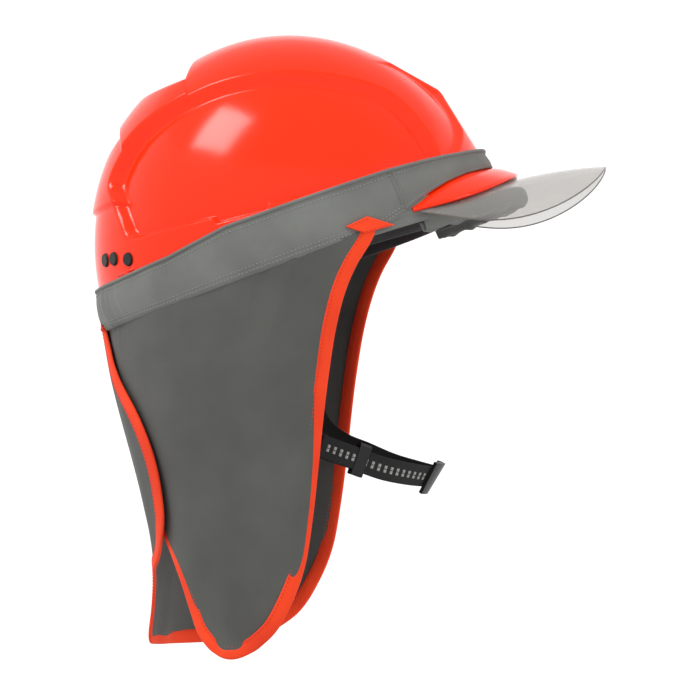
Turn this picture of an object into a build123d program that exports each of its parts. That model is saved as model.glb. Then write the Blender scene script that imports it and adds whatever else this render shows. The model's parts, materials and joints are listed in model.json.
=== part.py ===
from build123d import *
import math
import os

# Hard hat with a fabric sun cover, as worn on an upright head.
# +X is forwards, +Y is the wearer's left and +Z is up; the origin is the middle of the head
# opening. The hat sits back on the head, so the shell, harness and peaks are modelled in the
# hat's own frame, which is tilted about Y, while the chin strap and the neck flaps hang upright.

# ---- the hat's own frame
HAT_TILT = 18.0

# ---- shell: an ellipsoid dome with a raised centre ridge and two sunk side panels
HALF_LENGTH = 134.0
HALF_WIDTH = 107.0
CROWN_HEIGHT = 146.0
DOME_MIDDLE = 2.0
SHELL_WALL = 2.5
RIM_HEIGHT = -4.0
RECESS_DEPTH = 7.0
LEDGE_REAR_HEIGHT = 40.0
LEDGE_SLOPE = -0.066
SLOT_STEP_X = (-34.0, 2.0)
SLOT_STEP_DROP = 4.0
RIDGE_OUTLINE = [
    (-101, 40.5), (-76, 46), (-50, 53.7), (-19, 59.5), (9, 62.6),
    (35, 63.2), (60, 60.4), (82, 54.5), (98, 50), (113, 54),
]
REAR_FRAME_CORNER = (-92.0, 78.0)
TIER_ONE_END = -19.0
TIER_ONE_FOOT = (-30.0, 130.0)
TIER_TWO_END = -83.0
TIER_TWO_SHIFT = -6.0
TIER_THREE_START = 109.5
TIER_THREE_FALL = 0.59
TIER_THREE_SHIFT = -3.0
TIER_THREE_FOOT = 66.0

# ---- rear vents and their plugs
VENT_Y = (46.5, 56.5, 68.5)
VENT_HEIGHTS = (33.5, 32.0, 28.0)
VENT_DIAMETER = 7.0
PLUG_HEAD = 9.2
PLUG_HEAD_THICK = 1.3
PLUG_CLEARANCE = 0.05

# ---- hat peak and clear sun peak
PEAK_ROOT_X = 84.0
PEAK_TIP_X = 154.4
PEAK_HALF_WIDTH = 85.0
PEAK_THICK = 2.6
PEAK_ROOT_HEIGHT = 11.0
PEAK_SIDE_HEIGHT = 1.2
PEAK_TIP_HEIGHT = 6.6
CLEAR_TIP_X = 211.5
CLEAR_HALF_WIDTH = 90.0
CLEAR_THICK = 0.9
CLEAR_ROOT_HEIGHT = 3.0
CLEAR_TIP_DROP = 7.5
CLEAR_SIDE_DIP = 18.0
CLEAR_CORNER_RISE = 8.5
CLEAR_GAP = 0.6

# ---- fabric cover
COVER_GAP = 0.5
BAND_THICK = 2.0
BAND_BOTTOM = -6.0
BAND_HEM_REACH = 6.0
BAND_SEAM_X = 83.0
BAND_TOP = [(-150, 17.5), (-108, 17.5), (-69, 19.5), (-28, 25.5), (25, 27), (81, 28.5), (115, 28), (150, 26)]
FRONT_BAND_BOTTOM = [(83, 1.5), (97, 7.5), (112, 12), (124, 14.2), (135, 15), (150, 15)]
ELASTIC_THICK = 0.8
ELASTIC_WIDTH = 12.0
SLEEVE_TIP_X = 157.0
SLEEVE_HALF_WIDTH = 79.0
SLEEVE_BOTTOM = -14.0
SLEEVE_SHEET_GAP = 1.0
SLEEVE_THICK = 1.0

# ---- neck flaps
FLAP_THICK = 1.0
FLAP_LAYER_GAP = 0.6
BINDING_WIDTH = 9.0
BINDING_THICK = 1.8
FLAP_TOP_GAP = 0.4
FLAP_RINGS = [(-85, -117, 84, 103), (-160, -97.5, 72, 96), (-210, -87, 62, 91), (-262, -80, 58, 87)]
LEFT_REAR_FLARE = (0.0, 0.0, -3.0, -16.0)
FLAP_FRONT_EDGE = [
    (64, 15), (57, 8), (48.5, -7), (41, -24), (35, -46), (30, -75), (26, -106), (22.5, -138),
    (18.5, -170), (13.5, -199), (6, -221), (-5, -242), (-17, -253), (-31, -259), (-40, -258.5),
]
RIGHT_REAR_EDGE = [
    (-48, -254), (-55, -245), (-60, -231), (-66, -213), (-73, -196), (-81, -180), (-95, -155), (-112, -125), (-150, -95),
]
LEFT_REAR_EDGE = [(-62, -258), (-90, -256), (-130, -254)]
RIGHT_PANEL_END_Y = 12.0
LEFT_PANEL_EDGE = [
    (-20, -30), (-30, -52), (-55, -80), (-68, -105), (-71, -145), (-64, -178), (-38, -197), (-17, -213),
    (-4, -232), (4, -252), (8, -270),
]

# ---- harness
HEADBAND_HALF_LENGTH = 98.0
HEADBAND_HALF_WIDTH = 78.0
HEADBAND_THICK = 1.6
HEADBAND_BOTTOM = -10.0
HEADBAND_TOP = 13.0
HEADBAND_END_X = -78.0
HEADBAND_SLOTS = (-58.0, -46.0, 40.0, 50.0)
SWEATBAND_THICK = 3.2
SWEATBAND_REAR_X = 20.0
KEY_ANGLES = (38.0, 90.0, 142.0)
KEY_WIDTH = 22.0
KEY_THICK = 3.0
KEY_BOTTOM = 3.0
KEY_TOP = 20.0
KEY_WALL_GAP = 7.0
KEY_DEPTH = 11.6
STRAP_DEPTH = 11.7
STRAP_CLEARANCE = 0.3
SOCKET_WALL = 2.0
SOCKET_CLEARANCE = 0.25
STRAP_WIDTH = 18.0
STRAP_THICK = 1.2
STRAP_CROWN = 104.0
STRAP_STACK = 2.6
CROWN_PAD_RADIUS = 32.0
CROWN_PAD_THICK = 4.0
ARM_WIDTH = 9.0
ARM_THICK = 2.0
ARM_GAP = 1.0
ARM_ROOT = 0.5

# ---- ratchet
RATCHET_FACE_X = -99.6
RATCHET_AXIS_HEIGHT = -16.0
CASE_HALF_WIDTH = 26.0
CASE_HALF_HEIGHT = 15.0
CASE_PLATE = 2.0
CASE_DEPTH = 8.0
CASE_WALL = 2.0
PINION_TEETH = 12
PINION_MODULE = 1.0
RACK_THICK = 2.0
RACK_BODY = 3.6
RACK_REACH = 20.0
RACK_SIDE_GAP = 0.3
RACK_TRAVEL = 3.0
TAIL_BEND_Y = 31.0
TAIL_END = (-75.0, 60.0)
TAIL_LOW = -24.0
TAIL_HIGH = 6.0
SHAFT_RADIUS = 4.0
SHAFT_CLEARANCE = 0.1
KNOB_RADIUS = 15.0
KNOB_DEPTH = 11.0
KNOB_GAP = 0.4
KNOB_RIBS = 18
NAPE_PAD_THICK = 5.0
SCREW_RADIUS = 2.4

# ---- chin strap
ANCHOR_X = 14.0
ANCHOR_Z = -14.0
PIN_RADIUS = 2.2
PIN_CLEARANCE = 0.1
ANCHOR_PLATE_THICK = 3.0
HOOK_GAP = 0.6
HOOK_THICK = 3.6
HOOK_LENGTH = 14.0
WEBBING_WIDTH = 15.0
WEBBING_THICK = 1.4
NECK_AXIS_X = 12.0
CHIN_TILT = 0.6
STRAP_ROUTE = [
    (14, -85, -24), (11.5, -84, -50), (6, -79, -76), (4, -73, -97), (10, -67.5, -113),
    (24, -60.5, -124.3), (42, -51, -131.4), (60, -41.5, -138.5), (76, -28, -142.6), (86.5, -14, -144.6), (90, 0, -145),
]
CHIN_CUP_THICK = 2.4
CHIN_CUP_WIDTH = 23.0
CHIN_CUP_HALF_SPAN = 15.0
SLIDER_POINT = (46.0, -48.9, -133.0)
SLIDER_LENGTH = 8.0
SLIDER_BAR = 2.4
SLIDER_THICK = 5.0
SLIDER_CLEARANCE = 0.9
TAIL_STRIP_LENGTH = 26.0

BIG = 400.0
PARTS = "parts"

cos_tilt = math.cos(math.radians(HAT_TILT))
sin_tilt = math.sin(math.radians(HAT_TILT))
hat = Plane(origin=(0, 0, 0), x_dir=(cos_tilt, 0, sin_tilt), z_dir=(-sin_tilt, 0, cos_tilt))
hat_side = Plane(origin=(0, 0, 0), x_dir=hat.x_dir, z_dir=(0, -1, 0))
clear_outer_gap = COVER_GAP + BAND_THICK


# ---------------------------------------------------------------- helpers in the hat's frame
def hat_point(x, y, z):
    """World point of a place given in the hat's frame."""
    return hat.from_local_coords(Vector(x, y, z))


def dome(grow, shift=0.0):
    """The dome's ellipsoid, grown by a distance and moved along the hat."""
    with BuildPart() as ball:
        Sphere(100)
        scale(by=((HALF_LENGTH + grow) / 100, (HALF_WIDTH + grow) / 100, (CROWN_HEIGHT + grow) / 100))
    return hat.location * (Pos(DOME_MIDDLE + shift, 0, 0) * ball.part)


def dome_normal(x, y, z):
    """World direction straight out of the dome at a place in the hat's frame."""
    slope = Vector((x - DOME_MIDDLE) / HALF_LENGTH**2, y / HALF_WIDTH**2, z / CROWN_HEIGHT**2)
    return (hat.from_local_coords(slope) - hat.origin).normalized()


def rear_x(y, z, grow=0.0):
    """Where the dome's rear half lies at a height and a distance from the middle."""
    share = 1 - (y / (HALF_WIDTH + grow)) ** 2 - (z / (CROWN_HEIGHT + grow)) ** 2
    return DOME_MIDDLE - (HALF_LENGTH + grow) * math.sqrt(share)


def radial_plane(inner, outer):
    """Upright plane of the hat's frame through two plan points, with its origin at the first."""
    start = hat_point(inner[0], inner[1], 0)
    along = (hat_point(outer[0], outer[1], 0) - start).normalized()
    return Plane(origin=start, x_dir=along, z_dir=along.cross(hat.z_dir))


def side_prism(points, swell=0.0):
    """Everything across the hat inside an outline drawn in its side view."""
    with BuildPart() as prism:
        with BuildSketch(hat_side):
            with BuildLine():
                Polyline(*points, close=True)
            make_face()
            if swell:
                offset(amount=swell, kind=Kind.INTERSECTION)
        extrude(amount=BIG, both=True)
    return prism.part


# ---------------------------------------------------------------- shell
def moved_outline(points, distance):
    """Outline points moved sideways, towards the middle of the hat."""
    moved = []
    for i, point in enumerate(points):
        before, after = points[max(i - 1, 0)], points[min(i + 1, len(points) - 1)]
        length = math.dist(before, after)
        run, rise = (after[0] - before[0]) / length, (after[1] - before[1]) / length
        moved.append((point[0] + rise * distance, point[1] - run * distance))
    return moved


def side_recesses(inset):
    """Material taken out of both sides of the dome, above the ledge and outside the ridge."""
    rear_ledge = REAR_FRAME_CORNER[0]
    step_rear, step_front = SLOT_STEP_X

    def ledge(x):
        return LEDGE_REAR_HEIGHT + LEDGE_SLOPE * (x - rear_ledge)

    with BuildPart() as recess:
        with BuildSketch(hat):
            with BuildLine():
                ridge = Spline(*moved_outline(RIDGE_OUTLINE, inset))
                corner = (REAR_FRAME_CORNER[0] - inset, REAR_FRAME_CORNER[1])
                Polyline(ridge @ 1, (BIG, 120 - inset), (BIG, BIG), (corner[0], BIG), corner, ridge @ 0)
            make_face()
        extrude(amount=BIG)
        above = [
            (-BIG, ledge(-BIG)), (step_rear, ledge(step_rear)),
            (step_rear, ledge(step_rear) - SLOT_STEP_DROP), (step_front, ledge(step_front) - SLOT_STEP_DROP),
            (step_front, ledge(step_front)), (BIG, ledge(BIG)), (BIG, BIG), (-BIG, BIG),
        ]
        add(side_prism(above, inset), mode=Mode.INTERSECT)
        add(dome(-RECESS_DEPTH - inset), mode=Mode.SUBTRACT)
        mirror(about=Plane.XZ)
    return recess.part


def shell_form(inset):
    """The shell's outside form moved inwards by a distance."""
    foot_x, foot_z = TIER_ONE_FOOT
    behind_tier_one = [(TIER_ONE_END, 152), (foot_x, foot_z), (-BIG, foot_z), (-BIG, BIG), (TIER_ONE_END, BIG)]
    low_end = TIER_THREE_START - TIER_THREE_FALL * 60
    behind_tier_two = [
        (TIER_TWO_END, TIER_THREE_START), (TIER_TWO_END - 60, low_end), (-BIG, low_end), (-BIG, BIG), (TIER_TWO_END, BIG),
    ]
    tier_two = [(foot_x, 60), (TIER_TWO_END, 60), (TIER_TWO_END, BIG), (foot_x, BIG)]
    tier_three = [
        (TIER_TWO_END + 4, TIER_THREE_FOOT), (-BIG, TIER_THREE_FOOT), (-BIG, BIG), (TIER_TWO_END + 4, BIG),
    ]
    with BuildPart() as raised:
        add(dome(-inset, TIER_TWO_SHIFT))
        add(side_prism(tier_two, -inset if inset else 0), mode=Mode.INTERSECT)
    with BuildPart() as lowest:
        add(dome(-inset, TIER_THREE_SHIFT))
        add(side_prism(tier_three, -inset if inset else 0), mode=Mode.INTERSECT)
    with BuildPart() as form:
        add(dome(-inset))
        add(lowest.part)
        add(side_prism(behind_tier_two, inset), mode=Mode.SUBTRACT)
        add(raised.part)
        add(side_prism(behind_tier_one, inset), mode=Mode.SUBTRACT)
        add(side_recesses(inset), mode=Mode.SUBTRACT)
    return form.part


def peak_height(turn):
    """Height of the hat peak's edge; turn is 0 at the tip and 90 at the side."""
    return PEAK_SIDE_HEIGHT - 2.0 * math.sin(math.radians(2 * turn)) + (PEAK_TIP_HEIGHT - PEAK_SIDE_HEIGHT) * math.cos(
        math.radians(turn)
    ) ** 3


def front_points(turn, tip_x, half_width, grow=0.0):
    """Plan points on the dome's front and on a peak's edge, for one turn from the middle."""
    side = math.degrees(math.acos((PEAK_ROOT_X - DOME_MIDDLE) / HALF_LENGTH))
    spread = math.radians(turn / 90 * side)
    inner = (
        DOME_MIDDLE + (HALF_LENGTH + grow) * math.cos(spread),
        (HALF_WIDTH + grow) * math.sin(spread),
    )
    angle = math.radians(turn)
    outer = (PEAK_ROOT_X + (tip_x - PEAK_ROOT_X) * math.cos(angle), half_width * math.sin(angle))
    return inner, outer


def hat_peak():
    """The shell's own short peak, lofted across from side to side, its root inside the wall."""
    with BuildPart() as peak:
        for turn in (-86, -70, -50, -25, 0, 25, 50, 70, 86):
            inner, outer = front_points(turn, PEAK_TIP_X, PEAK_HALF_WIDTH, -1.4)
            reach = math.dist(inner, outer)
            root = PEAK_SIDE_HEIGHT + (PEAK_ROOT_HEIGHT - PEAK_SIDE_HEIGHT) * math.cos(math.radians(turn)) ** 1.5
            edge = peak_height(turn)
            with BuildSketch(radial_plane(inner, outer)):
                with BuildLine():
                    Polyline(
                        (0, root), (reach, edge), (reach, edge - PEAK_THICK), (0, root - PEAK_THICK), close=True
                    )
                make_face()
        loft()
    return peak.part


def key_plane(angle, side):
    """Plane on the shell's inside wall at a harness key: Z points inwards and Y up the hat."""
    spread = math.radians(angle)
    x = DOME_MIDDLE + (HALF_LENGTH - SHELL_WALL) * math.cos(spread)
    y = side * (HALF_WIDTH - SHELL_WALL) * math.sin(spread)
    outwards = Vector(math.cos(spread) / HALF_LENGTH, side * math.sin(spread) / HALF_WIDTH, 0)
    inwards = (hat.from_local_coords(outwards * -1) - hat.origin).normalized()
    return Plane(origin=hat_point(x, y, 0), x_dir=hat.z_dir.cross(inwards), z_dir=inwards)


KEY_PLANES = [key_plane(angle, side) for angle in KEY_ANGLES for side in (1, -1)]


def vent_planes():
    """Planes on the shell's outside at the rear vents, three on each side."""
    planes = []
    for y, z in zip(VENT_Y, VENT_HEIGHTS):
        for side in (1, -1):
            x = rear_x(y, z)
            planes.append(Plane(origin=hat_point(x, side * y, z), z_dir=dome_normal(x, side * y, z)))
    return planes


def make_shell():
    """Thin dome with the peak, six harness sockets and the rear vents."""
    inside = shell_form(SHELL_WALL)
    socket_depth = KEY_WALL_GAP + KEY_THICK + SOCKET_CLEARANCE
    socket_width = KEY_WIDTH - 8 + 2 * SOCKET_WALL
    tongue_height = KEY_TOP + 1
    with BuildPart() as shell:
        add(shell_form(0.0))
        add(inside, mode=Mode.SUBTRACT)
        add(hat_peak())
        add(inside, mode=Mode.SUBTRACT)
        split(bisect_by=hat.offset(RIM_HEIGHT), keep=Keep.TOP)
        for plane in vent_planes():
            with Locations(plane):
                Cylinder(VENT_DIAMETER / 2, 30, mode=Mode.SUBTRACT)
    with BuildPart() as sockets:
        for plane in KEY_PLANES:
            with BuildSketch(Plane(origin=plane.origin, x_dir=plane.x_dir, z_dir=plane.z_dir)):
                with Locations((0, (KEY_BOTTOM + tongue_height) / 2 + 2)):
                    Rectangle(socket_width, tongue_height - KEY_BOTTOM - 4)
            extrude(amount=socket_depth - 2, both=True)
        add(shell_form(SHELL_WALL - 1), mode=Mode.INTERSECT)
        for plane in KEY_PLANES:
            gap = plane.offset(KEY_WALL_GAP - KEY_THICK - 2 * SOCKET_CLEARANCE)
            with BuildSketch(gap):
                with Locations((0, (KEY_BOTTOM + KEY_TOP) / 2 - 2)):
                    Rectangle(socket_width - 2 * SOCKET_WALL + 2 * SOCKET_CLEARANCE, KEY_TOP - KEY_BOTTOM)
            extrude(amount=KEY_THICK + SOCKET_CLEARANCE, mode=Mode.SUBTRACT)
    with BuildPart() as whole:
        add(shell.part)
        add(sockets.part)
    whole.part.label = "shell"
    return whole.part


def make_vent_plugs():
    """Six push-in plugs with a domed head outside and a flange inside."""
    stem = VENT_DIAMETER / 2 - PLUG_CLEARANCE
    with BuildPart() as plugs:
        for plane in vent_planes():
            with BuildSketch(plane.offset(0.25)):
                Circle(PLUG_HEAD / 2)
            extrude(amount=PLUG_HEAD_THICK, taper=25)
            with BuildSketch(plane.offset(0.25)):
                Circle(stem)
            extrude(amount=-(SHELL_WALL + 1.6))
            with BuildSketch(plane.offset(-SHELL_WALL - 0.35)):
                Circle(PLUG_HEAD / 2 - 0.4)
            extrude(amount=-1.0)
    return plugs.part


# ---------------------------------------------------------------- clear sun peak and fabric sleeve
def clear_edge_height(turn):
    """Height of the clear peak's edge: it droops at the sides like a cap's brim."""
    share = abs(turn) / 90
    dip = CLEAR_SIDE_DIP * math.sin(math.pi * share**1.35)
    return -CLEAR_TIP_DROP - dip + CLEAR_CORNER_RISE * math.sin(math.radians(abs(turn))) ** 20


def clear_height(turn, share):
    """Height of the clear peak's top between its root, share 0, and its edge, share 1."""
    root = CLEAR_ROOT_HEIGHT * math.cos(math.radians(turn)) - 1.8 * math.sin(math.radians(abs(turn)))
    return root + (clear_edge_height(turn) - root) * share**2


def make_clear_peak():
    """Bent clear sheet under the hat peak, from the shell's front to its own wide edge."""
    shares = (0, 0.35, 0.7, 1)
    with BuildPart() as sheet:
        for turn in (-85, -72, -58, -42, -22, 0, 22, 42, 58, 72, 85):
            inner, outer = front_points(turn, CLEAR_TIP_X, CLEAR_HALF_WIDTH, CLEAR_GAP)
            reach = math.dist(inner, outer)
            top = [(reach * s, clear_height(turn, s)) for s in shares]
            with BuildSketch(radial_plane(inner, outer)):
                with BuildLine():
                    upper = Spline(*top)
                    lower = Spline(*[(x, z - CLEAR_THICK) for x, z in top])
                    Line(upper @ 0, lower @ 0)
                    Line(upper @ 1, lower @ 1)
                make_face()
        loft()
    return sheet.part


def sleeve_form(inset):
    """Solid outline of the pouch; with an inset it is smaller and reaches further back."""
    with BuildPart() as form:
        for turn in (-84, -66, -44, -22, 0, 22, 44, 66, 84):
            spread = turn * (1 - inset / 60)
            inner, outer = front_points(spread, SLEEVE_TIP_X - inset, SLEEVE_HALF_WIDTH - inset, -12.0 - 4 * inset)
            clear_inner, clear_outer = front_points(spread, CLEAR_TIP_X, CLEAR_HALF_WIDTH, CLEAR_GAP)
            reach = math.dist(inner, outer)
            share = min(1.0, math.dist(clear_inner, outer) / math.dist(clear_inner, clear_outer))
            under_sheet = clear_height(spread, share) - CLEAR_THICK - SLEEVE_SHEET_GAP
            outer_top = min(under_sheet, -1.0) - 1.0 - inset
            inner_top = min(outer_top, RIM_HEIGHT - 2.0 - inset)
            with BuildSketch(radial_plane(inner, outer)):
                with BuildLine():
                    Polyline(
                        (0, inner_top), (reach, outer_top), (reach, outer_top - 5 + 2 * inset),
                        (0, SLEEVE_BOTTOM + inset), close=True,
                    )
                make_face()
        loft()
    return form.part


def make_brim_sleeve():
    """Thin fabric pouch below the clear peak, closed in front of the hat peak's tip."""
    with BuildPart() as sleeve:
        add(sleeve_form(0.0))
        add(sleeve_form(SLEEVE_THICK), mode=Mode.SUBTRACT)
    return sleeve.part


# ---------------------------------------------------------------- fabric cover
def cover_skin(gap, thick, hem):
    """Fabric layer round the shell's skirt, turned in under the rim when it has a hem."""
    floor = side_prism([(-BIG, RIM_HEIGHT - 0.3), (BIG, RIM_HEIGHT - 0.3), (BIG, BIG), (-BIG, BIG)])
    with BuildPart() as hollow:
        add(dome(gap))
        if hem:
            add(floor, mode=Mode.INTERSECT)
    with BuildPart() as skin:
        add(dome(gap + thick))
        add(hollow.part, mode=Mode.SUBTRACT)
        if hem:
            add(dome(-BAND_HEM_REACH), mode=Mode.SUBTRACT)
    return skin.part


def make_band_rear():
    """Gathered rear and side band, from seam to seam behind the peak."""
    with BuildPart() as band:
        add(cover_skin(COVER_GAP, BAND_THICK, True))
        with BuildSketch(hat_side):
            with BuildLine():
                top = Spline(*[p for p in BAND_TOP if p[0] < BAND_SEAM_X], (BAND_SEAM_X, 28.5))
                Polyline(top @ 1, (BAND_SEAM_X, BAND_BOTTOM), (-BIG, BAND_BOTTOM), (-BIG, BAND_TOP[0][1]), top @ 0)
            make_face()
        extrude(amount=BIG, both=True, mode=Mode.INTERSECT)
    return band.part


def make_band_front():
    """Front band above the hat peak, sewn to the rear band at both side seams."""
    with BuildPart() as band:
        add(cover_skin(COVER_GAP, BAND_THICK, False))
        with BuildSketch(hat_side):
            with BuildLine():
                seam = BAND_SEAM_X + 0.2
                top = Spline((seam, 28.5), *[p for p in BAND_TOP if p[0] > BAND_SEAM_X])
                low = Spline((seam, FRONT_BAND_BOTTOM[0][1]), *FRONT_BAND_BOTTOM[1:])
                Line(top @ 0, low @ 0)
                Line(top @ 1, low @ 1)
            make_face()
        extrude(amount=BIG, both=True, mode=Mode.INTERSECT)
        add(hat_peak_clearance(), mode=Mode.SUBTRACT)
    return band.part


def hat_peak_clearance():
    """Room for the hat peak where it comes out under the front band."""
    with BuildPart() as room:
        for turn in (-89, -60, -30, 0, 30, 60, 89):
            inner, outer = front_points(turn, PEAK_TIP_X + 8, PEAK_HALF_WIDTH + 6, -6.0)
            reach = math.dist(inner, outer)
            root = PEAK_SIDE_HEIGHT + (PEAK_ROOT_HEIGHT - PEAK_SIDE_HEIGHT) * math.cos(math.radians(turn)) ** 1.5
            with BuildSketch(radial_plane(inner, outer)):
                with BuildLine():
                    Polyline((0, root + 1.6), (reach, root), (reach, root - 12), (0, root - 12), close=True)
                make_face()
        loft()
    return room.part


def make_elastic():
    """Elastic tape that runs inside the turned-in hem round the back."""
    low = BAND_BOTTOM - ELASTIC_THICK - 0.2
    with BuildPart() as tape:
        with BuildSketch(hat.offset(low)):
            with Locations((DOME_MIDDLE, 0)):
                Ellipse(HALF_LENGTH - 1, HALF_WIDTH - 1)
                Ellipse(HALF_LENGTH - 1 - ELASTIC_WIDTH / 2, HALF_WIDTH - 1 - ELASTIC_WIDTH / 2, mode=Mode.SUBTRACT)
            with Locations((BIG / 2 + 20, 0)):
                Rectangle(BIG, BIG, mode=Mode.SUBTRACT)
        extrude(amount=ELASTIC_THICK)
    return tape.part


# ---------------------------------------------------------------- neck flaps
def flap_skirt(grow, rear_flare, reach=0.0):
    """Full skirt hanging from the band; reach makes it longer at both ends."""
    rings = [(z, rear + flare - grow, front + grow, half + grow)
             for (z, rear, front, half), flare in zip(FLAP_RINGS, rear_flare)]
    rings[-1] = (rings[-1][0] - reach, *rings[-1][1:])
    with BuildPart() as skirt:
        with BuildSketch(hat.offset(BAND_BOTTOM - FLAP_TOP_GAP + reach)):
            with Locations((DOME_MIDDLE, 0)):
                Ellipse(HALF_LENGTH + COVER_GAP + grow, HALF_WIDTH + COVER_GAP + grow)
        for z, rear, front, half in rings:
            with BuildSketch(Plane.XY.offset(z)):
                with Locations(((rear + front) / 2, 0)):
                    Ellipse((front - rear) / 2, half)
        loft()
    return skirt.part


def flap_layer(outer_grow, thick, rear_flare):
    """Thin cloth layer inside the skirt's outline."""
    with BuildPart() as layer:
        add(flap_skirt(outer_grow, rear_flare))
        add(flap_skirt(outer_grow - thick, rear_flare, 1.0), mode=Mode.SUBTRACT)
    return layer.part


def flap_outline(rear_edge, inset):
    """Side-view outline of one flap as a prism through both sides."""
    edge = moved_outline(FLAP_FRONT_EDGE + rear_edge, inset)
    with BuildPart() as outline:
        with BuildSketch(Plane.XZ):
            with BuildLine():
                free_edge = Spline(*edge)
                Polyline(free_edge @ 1, (-BIG, edge[-1][1]), (-BIG, BIG), (edge[0][0], BIG), free_edge @ 0)
            make_face()
        extrude(amount=BIG, both=True)
    return outline.part


def right_half(end_y):
    """Everything on the wearer's right, up to a little past the middle of the back."""
    with BuildPart() as half:
        with BuildSketch(Plane.XY):
            with Locations((0, end_y - BIG / 2)):
                Rectangle(2 * BIG, BIG)
        extrude(amount=2 * BIG, both=True)
    return half.part


def left_half(shift):
    """Everything on the wearer's left of the left flap's rear edge."""
    with BuildPart() as half:
        with BuildSketch(Plane.YZ):
            with BuildLine():
                points = moved_outline(LEFT_PANEL_EDGE, -shift)
                edge = Polyline(*points)
                Polyline(edge @ 1, (points[-1][0], -BIG), (BIG, -BIG), (BIG, BIG), (points[0][0], BIG), edge @ 0)
            make_face()
        extrude(amount=BIG, both=True)
        with BuildSketch(Plane.XY):
            with Locations((BIG / 2 - 40, -BIG / 2 - 1)):
                Rectangle(BIG, BIG)
        extrude(amount=BIG, both=True, mode=Mode.SUBTRACT)
    return half.part


def make_flap(side, inset):
    """One neck flap's cloth with its edges moved in by a distance; side is -1 for the right."""
    is_right = side < 0
    layer_grow = FLAP_THICK if is_right else 2 * BINDING_THICK + FLAP_LAYER_GAP
    flare = (0, 0, 0, 0) if is_right else LEFT_REAR_FLARE
    thick = FLAP_THICK if inset else BINDING_THICK
    grow = layer_grow + (0 if inset else (BINDING_THICK - FLAP_THICK) / 2)
    with BuildPart() as flap:
        add(flap_layer(grow, thick, flare))
        add(flap_outline(RIGHT_REAR_EDGE if is_right else LEFT_REAR_EDGE, inset), mode=Mode.INTERSECT)
        add(right_half(RIGHT_PANEL_END_Y - inset) if is_right else left_half(inset), mode=Mode.INTERSECT)
    return flap.part


def make_binding(side):
    """Folded tape round one flap's free edges, thicker than the cloth that it closes."""
    with BuildPart() as binding:
        add(make_flap(side, 0.0))
        is_right = side < 0
        add_outline = flap_outline(RIGHT_REAR_EDGE if is_right else LEFT_REAR_EDGE, BINDING_WIDTH)
        with BuildPart() as middle:
            add(add_outline)
            add(right_half(RIGHT_PANEL_END_Y - BINDING_WIDTH) if is_right else left_half(BINDING_WIDTH), mode=Mode.INTERSECT)
    return binding.part - middle.part


# ---------------------------------------------------------------- harness
def band_ring(half_length, half_width, thick, bottom, top):
    """Upright oval ring in the hat's frame."""
    with BuildPart() as ring:
        with BuildSketch(hat.offset(bottom)):
            Ellipse(half_length + thick, half_width + thick)
            Ellipse(half_length, half_width, mode=Mode.SUBTRACT)
        extrude(amount=top - bottom)
    return ring.part


def keep_front(part, x):
    """The part of a solid in front of a plane across the hat."""
    with BuildPart() as front:
        add(part)
        split(bisect_by=Plane(origin=hat_point(x, 0, 0), z_dir=hat.x_dir), keep=Keep.TOP)
    return front.part


def headband_arms():
    """Four slanted arms that carry the headband from the front and side keys."""
    with BuildPart() as arms:
        for plane in KEY_PLANES[:4]:
            key_face = plane.origin + plane.z_dir * (KEY_WALL_GAP - KEY_THICK + KEY_DEPTH - SOCKET_CLEARANCE)
            key_local = hat.to_local_coords(key_face)
            steep = math.atan2(key_local.Y / HEADBAND_HALF_WIDTH, key_local.X / HEADBAND_HALF_LENGTH)
            band = (
                (HEADBAND_HALF_LENGTH + HEADBAND_THICK) * math.cos(steep),
                (HEADBAND_HALF_WIDTH + HEADBAND_THICK) * math.sin(steep),
            )
            reach = math.dist(band, (key_local.X, key_local.Y)) - ARM_GAP
            with BuildSketch(radial_plane(band, (key_local.X, key_local.Y))):
                with BuildLine():
                    Polyline(
                        (-ARM_ROOT, 9.5), (reach, 2.5), (reach, 2.5 - ARM_THICK), (ARM_THICK, 9.5 - 2.4 * ARM_THICK),
                        (ARM_THICK, -6), (-ARM_ROOT, -6), close=True,
                    )
                make_face()
            extrude(amount=ARM_WIDTH / 2, both=True)
    return arms.part


def make_headband():
    """Plastic band round the front with four moulded arms, open behind, with sizing slots."""
    ring = band_ring(HEADBAND_HALF_LENGTH, HEADBAND_HALF_WIDTH, HEADBAND_THICK, HEADBAND_BOTTOM, HEADBAND_TOP)
    with BuildPart() as band:
        add(keep_front(ring, HEADBAND_END_X))
        add(headband_arms())
        for x in HEADBAND_SLOTS:
            with BuildSketch(Plane(origin=hat_point(x, 0, 2), x_dir=hat.x_dir, z_dir=(0, -1, 0))):
                RectangleRounded(6, 3, 1)
            extrude(amount=BIG / 2, both=True, mode=Mode.SUBTRACT)
    return band.part


def make_sweatband():
    """Padded brow band inside the front of the headband."""
    gap = 0.2
    ring = band_ring(
        HEADBAND_HALF_LENGTH - gap - SWEATBAND_THICK, HEADBAND_HALF_WIDTH - gap - SWEATBAND_THICK,
        SWEATBAND_THICK, HEADBAND_BOTTOM - 2, HEADBAND_TOP + 2,
    )
    return keep_front(ring, SWEATBAND_REAR_X)


def make_keys():
    """Six plastic hangers, each with a tongue up into its socket and a slot for the strap."""
    back = KEY_WALL_GAP - KEY_THICK - SOCKET_CLEARANCE
    with BuildPart() as keys:
        for plane in KEY_PLANES:
            with BuildSketch(plane.offset(back)):
                with Locations((0, (KEY_BOTTOM - 4 + KEY_TOP - 3) / 2)):
                    Rectangle(KEY_WIDTH - 8, KEY_TOP - 3 - KEY_BOTTOM + 4)
            extrude(amount=KEY_THICK - SOCKET_CLEARANCE)
            with BuildSketch(plane.offset(back)):
                with Locations((0, KEY_BOTTOM - 2)):
                    Rectangle(KEY_WIDTH, 7)
            extrude(amount=KEY_DEPTH)
        for layer, angle in enumerate(KEY_ANGLES):
            add(make_crown_strap(angle, layer, STRAP_CLEARANCE), mode=Mode.SUBTRACT)
    return keys.part


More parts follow.
